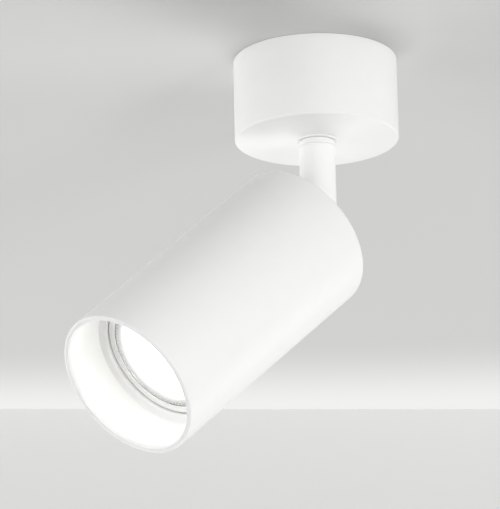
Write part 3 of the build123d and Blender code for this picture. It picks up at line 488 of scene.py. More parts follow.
def zinc_steel(colours):
    """Bright zinc plate with rolling marks along X."""
    rolled = (0.12, 1, 1)
    return textured(
        "zinc_steel", colours.zinc, (0.22, 0.4), 900, 5e-6,
        metal=1.0, shift=0.12, stretch=rolled, rounding=0.0001,
    )


def spring_steel(colours):
    """Blackened spring steel, lightly oiled."""
    return textured("spring_steel", colours.spring, (0.3, 0.5), 1600, 4e-6, metal=0.8, shift=0.2)


def screw_steel(colours):
    """Nickel plated screws with turning marks."""
    return textured(
        "screw_steel", colours.screw, (0.2, 0.36), 2600, 3e-6, metal=1.0, shift=0.08, rounding=0.0001
    )


def brass(colours):
    """Machined brass."""
    turned = (1, 0.1, 1)
    return textured("brass", colours.brass, (0.22, 0.38), 1800, 4e-6, metal=1.0, shift=0.1, stretch=turned)


def tinned_copper(colours):
    """Dull tin plate."""
    return textured(
        "tinned_copper", colours.tin, (0.34, 0.55), 1500, 5e-6, metal=1.0, shift=0.1, rounding=0.0001
    )


def nickel_brass(colours):
    """Nickel plated brass."""
    return textured("nickel_brass", colours.screw, (0.16, 0.3), 1800, 3e-6, metal=1.0, shift=0.06)


def block_plastic(colours):
    """Natural moulded plastic, faintly cloudy."""
    return textured("block_plastic", colours.block, (0.38, 0.52), 1400, 5e-6, shift=0.04, rounding=0.0001)


def steatite(colours):
    """Unglazed ceramic with fine specks."""
    return textured("steatite", colours.steatite, (0.6, 0.82), 1300, 1.2e-5, shift=0.06, rounding=0.0002)


def cable_cover(colours):
    """Silicone sleeve."""
    return textured("cable_cover", colours.sleeve, (0.5, 0.66), 1800, 5e-6, shift=0.03)


def live_brown(colours):
    """Brown insulation."""
    return textured("live_brown", colours.live, (0.4, 0.55), 2400, 3e-6, shift=0.12)


def neutral_blue(colours):
    """Blue insulation."""
    return textured("neutral_blue", colours.neutral, (0.4, 0.55), 2400, 3e-6, shift=0.12)


def earth_green(colours):
    """Green insulation with a yellow stripe each side."""
    material = textured("earth_green", colours.earth, (0.4, 0.55), 2400, 3e-6, shift=0.1)
    tree = material.node_tree
    around = new_node(tree, "ShaderNodeAttribute", attribute_name="stripe")
    edge = mapped(tree, around.outputs["Fac"], (0.46, 0.54), (0, 1))
    paint_over(material, edge, colours.earth_stripe)
    return material


def seal_rubber(colours):
    """Pale silicone rubber."""
    return textured("seal_rubber", colours.rubber, (0.5, 0.62), 2000, 3e-6, shift=0.03)


def lamp_white(colours):
    """Glossy moulded plastic of the lamp."""
    return textured("lamp_white", colours.lamp, (0.22, 0.34), 900, 6e-6, shift=0.015, rounding=0.0001)


def lamp_rim(colours):
    """Satin plastic of the lamp's front ring, which lets a little light through."""
    material = textured("lamp_rim", colours.lamp_rim, (0.3, 0.42), 1600, 4e-6, shift=0.04, rounding=0.0001)
    lit(material.node_tree.nodes["Principled BSDF"], colours, 0.05)
    return material


def lamp_clear(colours):
    """Clear cover over the optic, with faint flow marks, lit where its glow attribute says."""
    material, tree, shader = start_finish("lamp_clear")
    shader.inputs["Base Color"].default_value = (*colours.lens, 1)
    shader.inputs["Transmission Weight"].default_value = 1.0
    shader.inputs["IOR"].default_value = 1.5
    flow = grain(tree, 500, 2.0)
    tree.links.new(spread(tree, flow, 0.03, 0.08), shader.inputs["Roughness"])
    relief(tree, shader, flow, 4e-6)
    glow = new_node(tree, "ShaderNodeAttribute", attribute_name="glow")
    strength = mapped(tree, glow.outputs["Fac"], (0, 1), (0, 1.05))
    lit(shader, colours)
    tree.links.new(strength, shader.inputs["Emission Strength"])
    return material


def lamp_glow(colours):
    """The lit optic: bright lens cells, a little dimmer at their edges."""
    material, tree, shader = start_finish("lamp_glow")
    shader.inputs["Base Color"].default_value = (*colours.optic, 1)
    where = new_node(tree, "ShaderNodeTexCoord")
    cells = new_node(tree, "ShaderNodeTexVoronoi", feature="F1", Scale=420.0, Randomness=0.25)
    tree.links.new(where.outputs["Object"], cells.inputs["Vector"])
    level = mapped(tree, cells.outputs["Distance"], (0, 0.7), (0.2, 0.12))
    lit(shader, colours)
    tree.links.new(level, shader.inputs["Emission Strength"])
    tree.links.new(spread(tree, cells.outputs["Distance"], 0.3, 0.5), shader.inputs["Roughness"])
    return material


def board_white(colours):
    """White solder mask with faint traces."""
    return textured("board_white", colours.solder_mask, (0.3, 0.45), 700, 8e-6, shift=0.04)


def led_phosphor(colours):
    """Yellow phosphor under silicone."""
    return textured("led_phosphor", colours.phosphor, (0.2, 0.4), 2500, 5e-6, shift=0.1)


def sink_aluminium(colours):
    """Cast aluminium."""
    return textured("sink_aluminium", colours.aluminium, (0.38, 0.56), 1500, 9e-6, metal=1.0, shift=0.08)


def board_green(colours):
    """Green circuit board with copper traces under its mask."""
    material = textured("board_green", colours.board, (0.3, 0.42), 1500, 4e-6, shift=0.1)
    tree = material.node_tree
    where = new_node(tree, "ShaderNodeTexCoord")
    traces = new_node(tree, "ShaderNodeTexBrick", Scale=260.0)
    tree.links.new(where.outputs["Object"], traces.inputs["Vector"])
    paint_over(material, traces.outputs["Fac"], colours.traces)
    return material


FINISHES = {
    make.__name__: make
    for make in (
        white_coat, white_nylon, zinc_steel, spring_steel, screw_steel, brass, tinned_copper, nickel_brass,
        block_plastic, steatite, cable_cover, live_brown, neutral_blue, earth_green, seal_rubber, lamp_white,
        lamp_rim, lamp_clear, lamp_glow, board_white, led_phosphor, sink_aluminium, board_green,
    )
}


def finish(slot):
    """The material of a slot, made when it is first asked for."""
    made = bpy.data.materials.get(slot + "_finish")
    return made or FINISHES[slot](bpy.context.scene.spotlight_colours)


# ---- Pieces -------------------------------------------------------------------------------


class SPOTLIGHT_OT_canopy(bpy.types.Operator):
    """Build the canopy: a turned cup with rounded edges, its holes and the hook's pocket"""

    bl_idname = "spotlight.canopy"
    bl_label = "Canopy"

    def execute(self, context):
        s = context.scene.spotlight_sizes
        bottom, top, radius = extent("canopy")
        inner = radius - s.canopy_wall
        floor = bottom + s.canopy_floor
        screw_low, screw_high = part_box("canopy_screw")
        outline = rounded(
            [
                (radius, top, s.canopy_rim_round),
                (radius, screw_high.z + s.canopy_wall, 0),
                (radius, screw_low.z - s.canopy_wall, 0),
                (radius, bottom, s.canopy_edge_round),
                (s.neck_hole, bottom, s.fine_round),
                (s.neck_hole, floor, s.fine_round),
                (inner, floor, s.canopy_edge_round),
                (inner, top, s.canopy_rim_round),
            ]
        )
        piece = lathe("canopy_shell", outline, ROW, s.facets)
        middle = Matrix.Translation((0, 0, (screw_low.z + screw_high.z) / 2))
        sideways = middle @ Matrix.Rotation(math.pi / 2, 4, "Y")
        screw_hole = drill(s.screw_hole, -radius - s.canopy_wall, -inner + s.canopy_wall, sideways)
        pin_low, pin_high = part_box("pan_stop_pin")
        pin = Matrix.Translation((0, (pin_low.y + pin_high.y) / 2, 0))
        pin_seat = drill(s.pin_seat, floor - s.pin_seat_depth, floor + s.canopy_wall, pin)
        cut(piece, [screw_hole, pin_seat, self.hook_pocket(s, inner)])
        stand_for(piece, "canopy", "ceiling", "white_coat")
        return {"FINISHED"}

    def hook_pocket(self, s, inner):
        """A cutter for the pocket that the bracket's hook enters."""
        points = [v.co for v in frame["nodes"]["ceiling_bracket"].data.vertices]
        hook = [p for p in points if p.x > inner]
        low = min(p.z for p in hook) - s.pocket_play
        high = max(p.z for p in hook) + s.pocket_play
        half = max(p.y for p in hook) + s.pocket_play
        near, far = inner - s.canopy_wall, inner + s.pocket_depth
        corners = [(near, -half), (far, -half), (far, half), (near, half)]
        return bar("pocket", corners, low, high, ROW)


class SPOTLIGHT_OT_head(bpy.types.Operator):
    """Build the head tube: outer skin, rear lip, snap ring groove and the seat for the baffle"""

    bl_idname = "spotlight.head"
    bl_label = "Head tube"

    def execute(self, context):
        s = context.scene.spotlight_sizes
        rear, front, radius = extent("head_tube", HEAD)
        bore = radius - s.tube_wall
        seat = radius - s.tube_wall / 2
        seat_end = extent("baffle", HEAD)[0] - RING_PLAY
        ring_low, ring_high, ring_radius = extent("snap_ring", HEAD)
        groove_low, groove_high = ring_low - RING_PLAY, ring_high + RING_PLAY
        outline = rounded(
            [
                (radius, rear, s.tube_rear_round),
                (radius, front, s.tube_front_round),
                (seat, front, s.fine_round),
                (seat, seat_end, 0),
                (bore, seat_end, 0),
                (bore, groove_high, 0),
                (ring_radius + RING_PLAY, groove_high, 0),
                (ring_radius + RING_PLAY, groove_low, 0),
                (bore, groove_low, 0),
                (bore, rear + s.lip_thickness, 0),
                (radius - s.lip_width, rear + s.lip_thickness, 0),
                (radius - s.lip_width, rear, s.fine_round),
            ]
        )
        piece = lathe("head_shell", outline, HEAD, s.facets)
        stand_for(piece, "head_tube", "head", "white_coat")
        return {"FINISHED"}


class SPOTLIGHT_OT_baffle(bpy.types.Operator):
    """Build the baffle ring with its shoulder, its throat and its groove"""

    bl_idname = "spotlight.baffle"
    bl_label = "Baffle"

    def execute(self, context):
        s = context.scene.spotlight_sizes
        rear, front, radius = extent("baffle", HEAD)
        ring_low, ring_high, ring_radius = extent("baffle_o_ring", HEAD)
        groove_low, groove_high = ring_low - GROOVE_PLAY, ring_high + GROOVE_PLAY
        groove = ring_radius - 2 * s.o_ring_radius - GROOVE_PLAY
        bore = radius - s.baffle_wall
        corner = front - s.baffle_corner
        throat = extent("lamp_bezel", HEAD)[2] + s.baffle_gap
        outline = rounded(
            [
                (radius, front, s.fine_round),
                (bore + s.baffle_chamfer, front, s.fine_round),
                (bore, front - 2 * s.baffle_chamfer, s.baffle_chamfer),
                (bore, corner, s.fine_round),
                (throat, corner - s.baffle_slope, s.baffle_shoulder),
                (throat, rear, s.fine_round),
                (radius, rear, s.fine_round),
                (radius, groove_low, 0),
                (groove, groove_low, 0),
                (groove, groove_high, 0),
                (radius, groove_high, 0),
            ]
        )
        piece = lathe("baffle_ring", outline, HEAD, s.facets)
        stand_for(piece, "baffle", "baffle", "white_coat")
        return {"FINISHED"}


RIB_FACETS = 8  # points round each cooling rib
RIB_FADE = 0.25  # share of the cone over which the ribs run out at each end
CONE_STEPS = 16  # rings up the cone
PRISM_FACETS = 4  # points round each prism of the lens
LENS_RINGS = (0.012, 0.001)  # radii of the rings on the lens's flat middle
LENS_GLOW = (1.0, 0.55, 0.7, 0.0)  # glow of its middle, the groove round that, the prisms and the edge


class SPOTLIGHT_OT_lamp(bpy.types.Operator):
    """Build the lamp's front ring, its clear lens with moulded prisms and its ribbed housing"""

    bl_idname = "spotlight.lamp"
    bl_label = "Lamp"

    def execute(self, context):
        s = context.scene.spotlight_sizes
        low, front, radius = extent("lamp_bezel", HEAD)
        inner = radius - s.bezel_width
        lip = inner - s.bezel_lip
        under_lip = front - s.bezel_lip_thickness
        outline = rounded(
            [
                (radius, low, 0),
                (radius, front, 2 * s.fine_round),
                (lip, front, s.fine_round),
                (lip, under_lip, 0),
                (inner, under_lip, 0),
                (inner, low, 0),
            ]
        )
        bezel = lathe("lamp_front_ring", outline, HEAD, s.facets)
        stand_for(bezel, "lamp_bezel", "lamp", "lamp_rim")
        self.build_lens(s)
        self.build_housing(s)
        return {"FINISHED"}

    def build_housing(self, s):
        """The lamp's housing: a rim, and a cone with cooling ribs."""
        low, high, radius = extent("lamp_housing", HEAD)
        neck = extent("lamp_base", HEAD)[2]
        rim_low = high - s.lamp_rim_height
        cone = rim_low - low
        facets = s.lamp_ribs * RIB_FACETS

        def outside(height):
            return neck + (radius - neck) * min(1, (height - low) / cone)

        def ribbed(height):
            fade = min(1, min(height - low, rim_low - height) / (cone * RIB_FADE))
            depth = s.rib_relief * max(0, fade)
            return lambda turn: outside(height) - depth * abs(math.sin(s.lamp_ribs * turn / 2))

        heights = [low + cone * i / CONE_STEPS for i in range(CONE_STEPS + 1)]
        rings = [ring_at(height, ribbed(height), facets) for height in heights]
        rings.append(ring_at(high, radius, facets))
        rings += [
            ring_at(height, outside(height) - s.lamp_wall, facets) for height in (high, rim_low, low)
        ]
        housing = loft("lamp_ribbed_housing", rings, HEAD, closed=True)
        stand_for(housing, "lamp_housing", "lamp", "lamp_white")

    def build_lens(self, s):
        """The clear lens, with a ring of prisms, lit from within."""
        low, high, radius = extent("lamp_lens", HEAD)
        facets = s.lens_prisms * PRISM_FACETS
        outer = radius - s.bezel_lip - 4 * s.fine_round
        under_lip = high - s.bezel_lip_thickness
        inner = s.prism_inner
        step = s.prism_relief

        def crown(r, dip):
            ring = ring_at(high, r, facets)
            for i, point in enumerate(ring):
                point.z -= dip * math.sin(math.pi * i / PRISM_FACETS) ** 2
            return ring

        rings = [ring_at(low, r, facets) for r in (LENS_RINGS[-1], radius)]
        rings += [ring_at(under_lip, r, facets) for r in (radius, outer + 3 * s.fine_round)]
        rings += [crown(outer, 0), crown(outer - step, step), crown(inner + step, step), crown(inner, 0)]
        rings += [ring_at(high - step, inner - step, facets), ring_at(high, inner - 2 * step, facets)]
        rings += [ring_at(high, r, facets) for r in LENS_RINGS]
        lens = loft("lamp_cover_lens", rings, HEAD)
        half_way = 1.5 * step  # falls between two rings
        limits = (inner - half_way, inner, outer - half_way, math.inf)
        back = HEAD.inverted()
        glow = lens.data.attributes.new("glow", "FLOAT", "POINT")
        for vertex, level in zip(lens.data.vertices, glow.data):
            r = math.hypot(*(back @ vertex.co).xy)
            level.value = next(value for limit, value in zip(limits, LENS_GLOW) if r < limit)
        stand_for(lens, "lamp_lens", "lamp", "lamp_clear")


class Screw(NamedTuple):
    """A screw, along the way it points from the middle of its outer face."""

    piece: str
    node: str
    body: str
    place: Matrix
    starts: tuple
    way: tuple
    head: tuple  # radius, height and rounding of the edge
    shoulder: tuple  # radius and height at its end
    shank: float
    reach: float  # from the outer face to the tip
    pitch: float
    hexagon: tuple = ()  # width across the flats and depth
    slot: tuple = ()  # width and depth


SCREW_FACETS = 48
THREAD_DEPTH = 0.6  # of the pitch
THREAD_RINGS = 6  # rings in each turn of a thread
THREAD_END = 0.3  # share of a thread's depth that is left at the tip
TIP_FALL = 1.5  # how far the tip narrows, in thread depths
SLOT_REACH = 1.2  # half a slot's length, in head radii
FINE_SLOT = (0.0005, 0.0007)
EARTH_SPOT = (0.0125, -0.0068)  # where the bracket's earth screw stands


def tilt_screw(piece, x, way):
    """A shoulder screw that the fork turns on."""
    return Screw(
        piece, "tilt_screws", "head", HEAD, ((x, 0, 0),), way,
        (0.0028, 0.00125, 0.0003), (0.0018, 0.002475), 0.0015, 0.00415, 0.0005, hexagon=(0.002, 0.0008),
    )


def m3_screw(piece, node, starts, way, reach):
    """A socket screw inside the head."""
    return Screw(
        piece, node, "head", HEAD, starts, way,
        (0.00275, 0.002, 0.0005), (0.0015, 0.002), 0.0015, reach, 0.0005, hexagon=(0.0025, 0.001),
    )


SCREWS = (
    Screw(
        "canopy_grub_screw", "canopy_screw", "ceiling", ROW, ((-0.0317, 0, -0.007),), (1, 0, 0),
        (0.002, 0.0002, 0.0002), (0.002, 0.0002), 0.002, 0.006, 0.0007, hexagon=(0.002, 0.0022),
    ),
    tilt_screw("tilt_joint_screw_right", 0.0066, (-1, 0, 0)),
    tilt_screw("tilt_joint_screw_left", -0.0066, (1, 0, 0)),
    m3_screw(
        "holder_foot_screws", "bracket_screws",
        ((-0.0205, 0, 0.0193), (0.0205, 0, 0.0193)), (0, 0, -1), 0.0062,
    ),
    m3_screw(
        "holder_clamp_screws", "lampholder_screws",
        ((-0.013, 0, 0.0354), (0.013, 0, 0.0354)), (0, 0, 1), 0.00985,
    ),
    m3_screw("head_earth_screw", "plate_earth_screw", ((0, -0.017, 0.0188),), (0, 0, -1), 0.0057),
    Screw(
        "block_fixing_screw", "block_screw", "ceiling", ROW, ((0, 0.01833, -0.01405),), (0, 0, 1),
        (0.0024, 0.00145, 0.0003), (0.0014, 0.0016), 0.0014, 0.01405, 0.0005, slot=FINE_SLOT,
    ),
    Screw(
        "bracket_earth_screw", "earth_screw", "ceiling", ROW, ((*EARTH_SPOT, -0.00535),), (0, 0, 1),
        (0.0034, 0.0022, 0.00073), (0.002, 0.0022), 0.002, 0.00535, 0.0007, slot=(0.001, 0.0007),
    ),
    Screw(
        "wire_clamp_screws", "terminal_screws", "ceiling", ROW,
        tuple((x, 0.01833 + y, -0.01345) for x in (-0.005, 0.005) for y in (-0.0032, 0.0032)), (0, 0, 1),
        (0.0013, 0.0002, 0.0002), (0.0013, 0.0008), 0.0013, 0.00565, 0.00045, slot=FINE_SLOT,
    ),
)


def hexagon(across, turn):
    """The radius of a hexagon at a turn."""
    return across / 2 / math.cos((turn + math.pi / 6) % (math.pi / 3) - math.pi / 6)


def screw_rings(screw):
    """The rings of a screw from its outer face at 0 to its tip."""
    radius, height, rounding = screw.head
    rows = []
    if screw.hexagon:
        across, depth = screw.hexagon
        rows += [(at, lambda turn: hexagon(across, turn)) for at in (depth, rounding / 2)]
        rows.append((0, lambda turn: hexagon(across, turn) + rounding / 4))
    for step in range(ROUND_STEPS + 1):
        turn = math.pi / 2 * step / ROUND_STEPS
        rows.append((rounding * (1 - math.cos(turn)), radius - rounding * (1 - math.sin(turn))))
    shoulder, shoulder_end = screw.shoulder
    if height > rounding:
        rows.append((height, radius))
    if shoulder_end > height:
        rows += [(height, shoulder), (shoulder_end, shoulder)]
    rows += thread_rows(screw, max(shoulder_end, height))
    return [ring_at(at, radius, SCREW_FACETS) for at, radius in rows]


def thread_rows(screw, start):
    """The heights and radii of a screw's thread and of its tip."""
    depth = screw.pitch * THREAD_DEPTH
    end = screw.reach - depth
    steps = math.ceil((end - start) / screw.pitch * THREAD_RINGS)

    def thread(height):
        fade = min(1, (height - start) / screw.pitch, (end - height) / screw.pitch + THREAD_END)
        cut_in = depth * max(0, fade)

        def radius(turn):
            phase = (height / screw.pitch - turn / (2 * math.pi)) % 1
            return screw.shank - cut_in * abs(2 * phase - 1)

        return radius

    heights = [start + (end - start) * i / steps for i in range(steps + 1)]
    rows = [(height, thread(height)) for height in heights]
    return rows + [(screw.reach, screw.shank - TIP_FALL * depth)]


def joined(name, pieces):
    """One piece from several."""
    mesh = bmesh.new()
    for piece in pieces:
        mesh.from_mesh(piece.data)
    first = pieces[0]
    mesh.to_mesh(first.data)
    mesh.free()
    for piece in pieces[1:]:
        bpy.data.objects.remove(piece)
    first.name = name
    first.data.set_sharp_from_angle(angle=math.radians(SHARP_DEGREES))
    return first


class SPOTLIGHT_OT_screws(bpy.types.Operator):
    """Build the screws with their threads, hexagon sockets and slots"""

    bl_idname = "spotlight.screws"
    bl_label = "Screws"

    def execute(self, context):
        for screw in SCREWS:
            turn = Vector((0, 0, 1)).rotation_difference(Vector(screw.way)).to_matrix().to_4x4()
            pieces = []
            for start in screw.starts:
                place = screw.place @ Matrix.Translation(start) @ turn
                piece = loft(screw.piece, screw_rings(screw), place)
                if screw.slot:
                    cut(piece, [self.slot(screw, place)])
                pieces.append(piece)
            stand_for(joined(screw.piece, pieces), screw.node, screw.body, "screw_steel")
        return {"FINISHED"}

    def slot(self, screw, place):
        """A cutter for a screwdriver's slot."""
        width, depth = screw.slot
        half, reach = width / 2, screw.head[0] * SLOT_REACH
        corners = [(-half, -reach), (half, -reach), (half, reach), (-half, reach)]
        return bar("slot", corners, -depth, depth, place)


CROWN_STEPS = (0, 0.25, 0.5, 0.75, 1)  # rings on a nut's chamfer, as shares of it
TOOTH_FACETS = 12  # points round each tooth of a lock washer
TOOTH_ROOT = 5 / 6  # radius between the teeth, of the washer's
TOOTH_GAP = 0.2  # share of a tooth's turn that is gap, at each side


class SPOTLIGHT_OT_rings(bpy.types.Operator):
    """Build the thin nuts, the toothed washers and the disc spring"""

    bl_idname = "spotlight.rings"
    bl_label = "Nuts and washers"

    def execute(self, context):
        s = context.scene.spotlight_sizes
        self.nut(s, "neck_nut", "pan_nut", "arm", ROW)
        self.nut(s, "post_thin_nut", "post_nut", "head", HEAD)
        self.toothed(s, "earth_lock_washer", "earth_washer", "ceiling", EARTH_SPOT, s.washer_bore, ROW)
        self.toothed(s, "post_lock_washer", "post_washer", "head", (0, 0), s.nut_bore, HEAD)
        low, high, radius = extent("disc_spring")
        outline = [
            (radius, low, s.fine_round),
            (radius, low + s.spring_sheet, s.fine_round),
            (s.nut_bore, high, s.fine_round),
            (s.nut_bore, high - s.spring_sheet, s.fine_round),
        ]
        spring = lathe("pan_disc_spring", rounded(outline, 3), ROW, s.small_facets)
        stand_for(spring, "disc_spring", "arm", "spring_steel")
        return {"FINISHED"}

    def nut(self, s, piece, node, body, place):
        """A thin hexagon nut with chamfered corners and a countersunk bore."""
        low, high, corner = extent(node, place)
        face = s.nut_flats / 2
        lead_in = s.nut_chamfer

        def crown(inset):
            limit = face + (corner - face) * inset
            return lambda turn: min(limit, hexagon(s.nut_flats, turn))

        rows = [(low + lead_in, s.nut_bore), (low, s.nut_bore + lead_in)]
        rows += [(low + lead_in * i, crown(i)) for i in CROWN_STEPS]
        rows += [(high - lead_in * i, crown(i)) for i in reversed(CROWN_STEPS)]
        rows += [(high, s.nut_bore + lead_in), (high - lead_in, s.nut_bore)]
        rings = [ring_at(height, radius, s.small_facets) for height, radius in rows]
        stand_for(loft(piece, rings, place, closed=True, sharp=20), node, body, "zinc_steel")

    def toothed(self, s, piece, node, body, middle, bore, place):
        """A lock washer whose teeth are twisted out of its plane."""
        inner_place = place @ Matrix.Translation((*middle, 0))
        low, high, outer = extent(node, inner_place)
        facets = s.washer_teeth * TOOTH_FACETS
        root = outer * TOOTH_ROOT
        swing = (high - low - s.washer_sheet) / 2
        level = (low + high) / 2

        def phase(turn):
            return turn * s.washer_teeth / (2 * math.pi) % 1

        def rim(turn):
            return outer if TOOTH_GAP < phase(turn) < 1 - TOOTH_GAP else root

        def ring(radius, side, twisted):
            points = ring_at(0, radius, facets)
            for i, point in enumerate(points):
                lift = (phase(2 * math.pi * i / facets) - 0.5) * 2 * swing if twisted else 0
                point.z = level + side * s.washer_sheet / 2 + lift
            return points

        web = root - s.washer_sheet
        rings = [ring(bore, -1, False), ring(web, -1, False), ring(rim, -1, True)]
        rings += [ring(rim, 1, True), ring(web, 1, False), ring(bore, 1, False)]
        stand_for(loft(piece, rings, inner_place, closed=True), node, body, "zinc_steel")


# The routes of the leads: control points of smooth lines
UPPER_END = ((0.000996, 0.000575, -0.0155), (0.000996, 0.000575, -0.0237))
HOLDER_START = ((0.000996, 0.000575, 0.0243), (0.000996, 0.000575, 0.028))
SUPPLY_ROUTE = (
    (0.005, 0.01833, -0.00655), (0.005, 0.00583, -0.00655), (0.00375, 0.0005, -0.00955), *UPPER_END,
)
HOLDER_ROUTE = (*HOLDER_START, (0.005, 0, 0.0337), (0.005, 0, 0.04405))
CANOPY_EARTH_ROUTE = (
    (0.0084, -0.013901, -0.0038), (0.00565, -0.018665, -0.0038), (-0.001, -0.0215, -0.0073),
    (-0.004, -0.015, -0.0123), (-0.001, -0.0065, -0.0145), (0, -0.00115, -0.0185), (0, -0.00115, -0.0237),
)
HEAD_EARTH_ROUTE = (
    (0, -0.00115, 0.0243), (0, -0.00115, 0.0275), (0, -0.0046, 0.0313),
    (0, -0.0106, 0.0307), (0, -0.0124, 0.0258), (0, -0.0124, 0.0187),
)


def mirrored(route):
    """A route on the other side of the YZ plane."""
    return tuple((-x, y, z) for x, y, z in route)


# Piece, node, body, frame, material slot, route, and the length of a lead that hangs free
LEADS = (
    ("live_supply_lead", "canopy_live_lead", "ceiling", ROW, "live_brown", mirrored(SUPPLY_ROUTE), 0.0328),
    ("neutral_supply_lead", "canopy_neutral_lead", "ceiling", ROW, "neutral_blue", SUPPLY_ROUTE, 0.0328),
    ("earth_supply_lead", "canopy_earth_lead", "ceiling", ROW, "earth_green", CANOPY_EARTH_ROUTE, 0.0414),
    ("live_holder_lead", "head_live_lead", "head", HEAD, "live_brown", mirrored(HOLDER_ROUTE), 0),
    ("neutral_holder_lead", "head_neutral_lead", "head", HEAD, "neutral_blue", HOLDER_ROUTE, 0),
    ("earth_holder_lead", "head_earth_lead", "head", HEAD, "earth_green", HEAD_EARTH_ROUTE, 0),
)


LINE_STEPS = 16  # points on each stretch of a smooth line
LEAD_SIDES = 24


def smooth_line(route, place):
    """Points along the smooth line that has a route's points as its control points."""
    curve = bpy.data.curves.new("route", "CURVE")
    curve.dimensions = "3D"
    curve.resolution_u = LINE_STEPS
    spline = curve.splines.new("NURBS")
    spline.points.add(len(route) - 1)
    for point, where in zip(spline.points, route):
        point.co = (*(place @ Vector(where)), 1)
    spline.order_u = 3
    spline.use_endpoint_u = True
    line = bpy.data.objects.new("route", curve)
    bpy.context.scene.collection.objects.link(line)
    bpy.context.view_layer.update()
    mesh = bpy.data.meshes.new_from_object(line.evaluated_get(bpy.context.evaluated_depsgraph_get()))
    points = [v.co.copy() for v in mesh.vertices]
    bpy.data.objects.remove(line)
    return points


class SPOTLIGHT_OT_leads(bpy.types.Operator):
    """Build the leads along smooth lines, the earth leads striped"""

    bl_idname = "spotlight.leads"
    bl_label = "Leads"

    def execute(self, context):
        s = context.scene.spotlight_sizes
        for name, node, body, place, slot, route, free_length in LEADS:
            points = smooth_line(route, place)
            piece = self.tube(name, points, s.lead_radius)
            stand_for(piece, node, body, slot)
            if free_length:
                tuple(points[0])
        return {"FINISHED"}

    def tube(self, name, points, radius):
        """A tube along points, with the turn round it kept for the stripes."""
        turns = turns_of(LEAD_SIDES)
        rings = []
        heading = (points[1] - points[0]).normalized()
        across = heading.orthogonal().normalized()
        for i, point in enumerate(points):
            ahead = points[min(i + 1, len(points) - 1)] - points[max(i - 1, 0)]
            across = heading.rotation_difference(ahead.normalized()) @ across
            heading = ahead.normalized()
            other = heading.cross(across)
            rings.append([point + radius * (across * math.cos(t) + other * math.sin(t)) for t in turns])
        piece = loft(name, rings, ROW)
        stripe = piece.data.attributes.new("stripe", "FLOAT", "POINT")
        stripe.data.foreach_set("value", [math.cos(turn) ** 2 for turn in turns] * len(rings))
        return piece


class SPOTLIGHT_OT_hardware(bpy.types.Operator):
    """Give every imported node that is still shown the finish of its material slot"""

    bl_idname = "spotlight.hardware"
    bl_label = "Hardware finishes"

    def execute(self, context):
        for row in frame["record"]["subparts"]:
            for slot in frame["nodes"][row["node"]].material_slots:
                slot.material = finish(row["material_slot"])
        return {"FINISHED"}


# ---- Stage --------------------------------------------------------------------------------


def choose(tree, value, first, second, output):
    """The first shader where a value is 0 and the second where it is 1, as the tree's result."""
    pick = new_node(tree, "ShaderNodeMixShader")
    for socket, source in zip(pick.inputs, (value, first.outputs[0], second.outputs[0])):
        tree.links.new(source, socket)
    tree.links.new(pick.outputs[0], new_node(tree, output).inputs["Surface"])


def one_sided(name, tone, far=None):
    """A matte surface that is seen from its front only.

    far may give a paler tone, which is painted light, a direction, and how far along it that painted light
    starts and ends.
    """
    material = bpy.data.materials.new(name)
    material.use_nodes = True
    tree = material.node_tree
    tree.nodes.clear()
    matte = new_node(tree, "ShaderNodeBsdfDiffuse", Color=(*tone, 1))
    clear = new_node(tree, "ShaderNodeBsdfTransparent")
    behind = new_node(tree, "ShaderNodeNewGeometry").outputs["Backfacing"]
    choose(tree, behind, matte, clear, "ShaderNodeOutputMaterial")
    if far:
        painted_light_tone, along, start, end = far
        where = new_node(tree, "ShaderNodeTexCoord")
        distance = new_node(tree, "ShaderNodeVectorMath", operation="DOT_PRODUCT")
        distance.inputs[1].default_value = along
        tree.links.new(where.outputs["Object"], distance.inputs[0])
        # painted light: the colour pales along the direction, standing in for light that falls brighter
        # there
        painted_light_share = mapped(tree, distance.outputs["Value"], (start, end), (0, 1), "SMOOTHSTEP")
        tree.links.new(blend_colours(tree, painted_light_share, tone, painted_light_tone), matte.inputs["Color"])
    return material


def area_light(name, where, target, size, power):
    """A soft square light that points at the object."""
    data = bpy.data.lights.new(name, "AREA")
    data.size = size
    data.energy = power
    light = bpy.data.objects.new(name, data)
    light.location = where
    light.rotation_euler = (target - where).to_track_quat("-Z", "Y").to_euler()
    bpy.context.scene.collection.objects.link(light)


# Name, degrees round from the camera towards its right, degrees below level, distance, size, power
LIGHTS = (
    ("front_light", 0, 14, 2.0, 1.2, 5.3),
    ("key_light", 35, 14, 2.0, 0.5, 11.7),
    ("right_light", 62, 18, 2.0, 1.2, 11.2),
    ("left_light", -62, 14, 2.0, 1.2, 9.5),
    ("far_left_light", -105, 8, 1.4, 0.9, 8.9),
    ("back_left_light", -135, 10, 2.0, 1.0, 4.8),
    ("back_right_light", 125, 14, 2.0, 1.0, 7.2),
    ("back_light", 180, 57, 2.0, 1.0, 18.0),
)


CEILING_LAP = 0.001  # how far the ceiling laps over the canopy's rim
CEILING_RINGS = (0.1, 0.5)
CEILING_FACETS = 96
PICTURE = (500, 509)  # columns and rows
SENSOR = 36.0  # millimetres
CLIP = (0.05, 50)


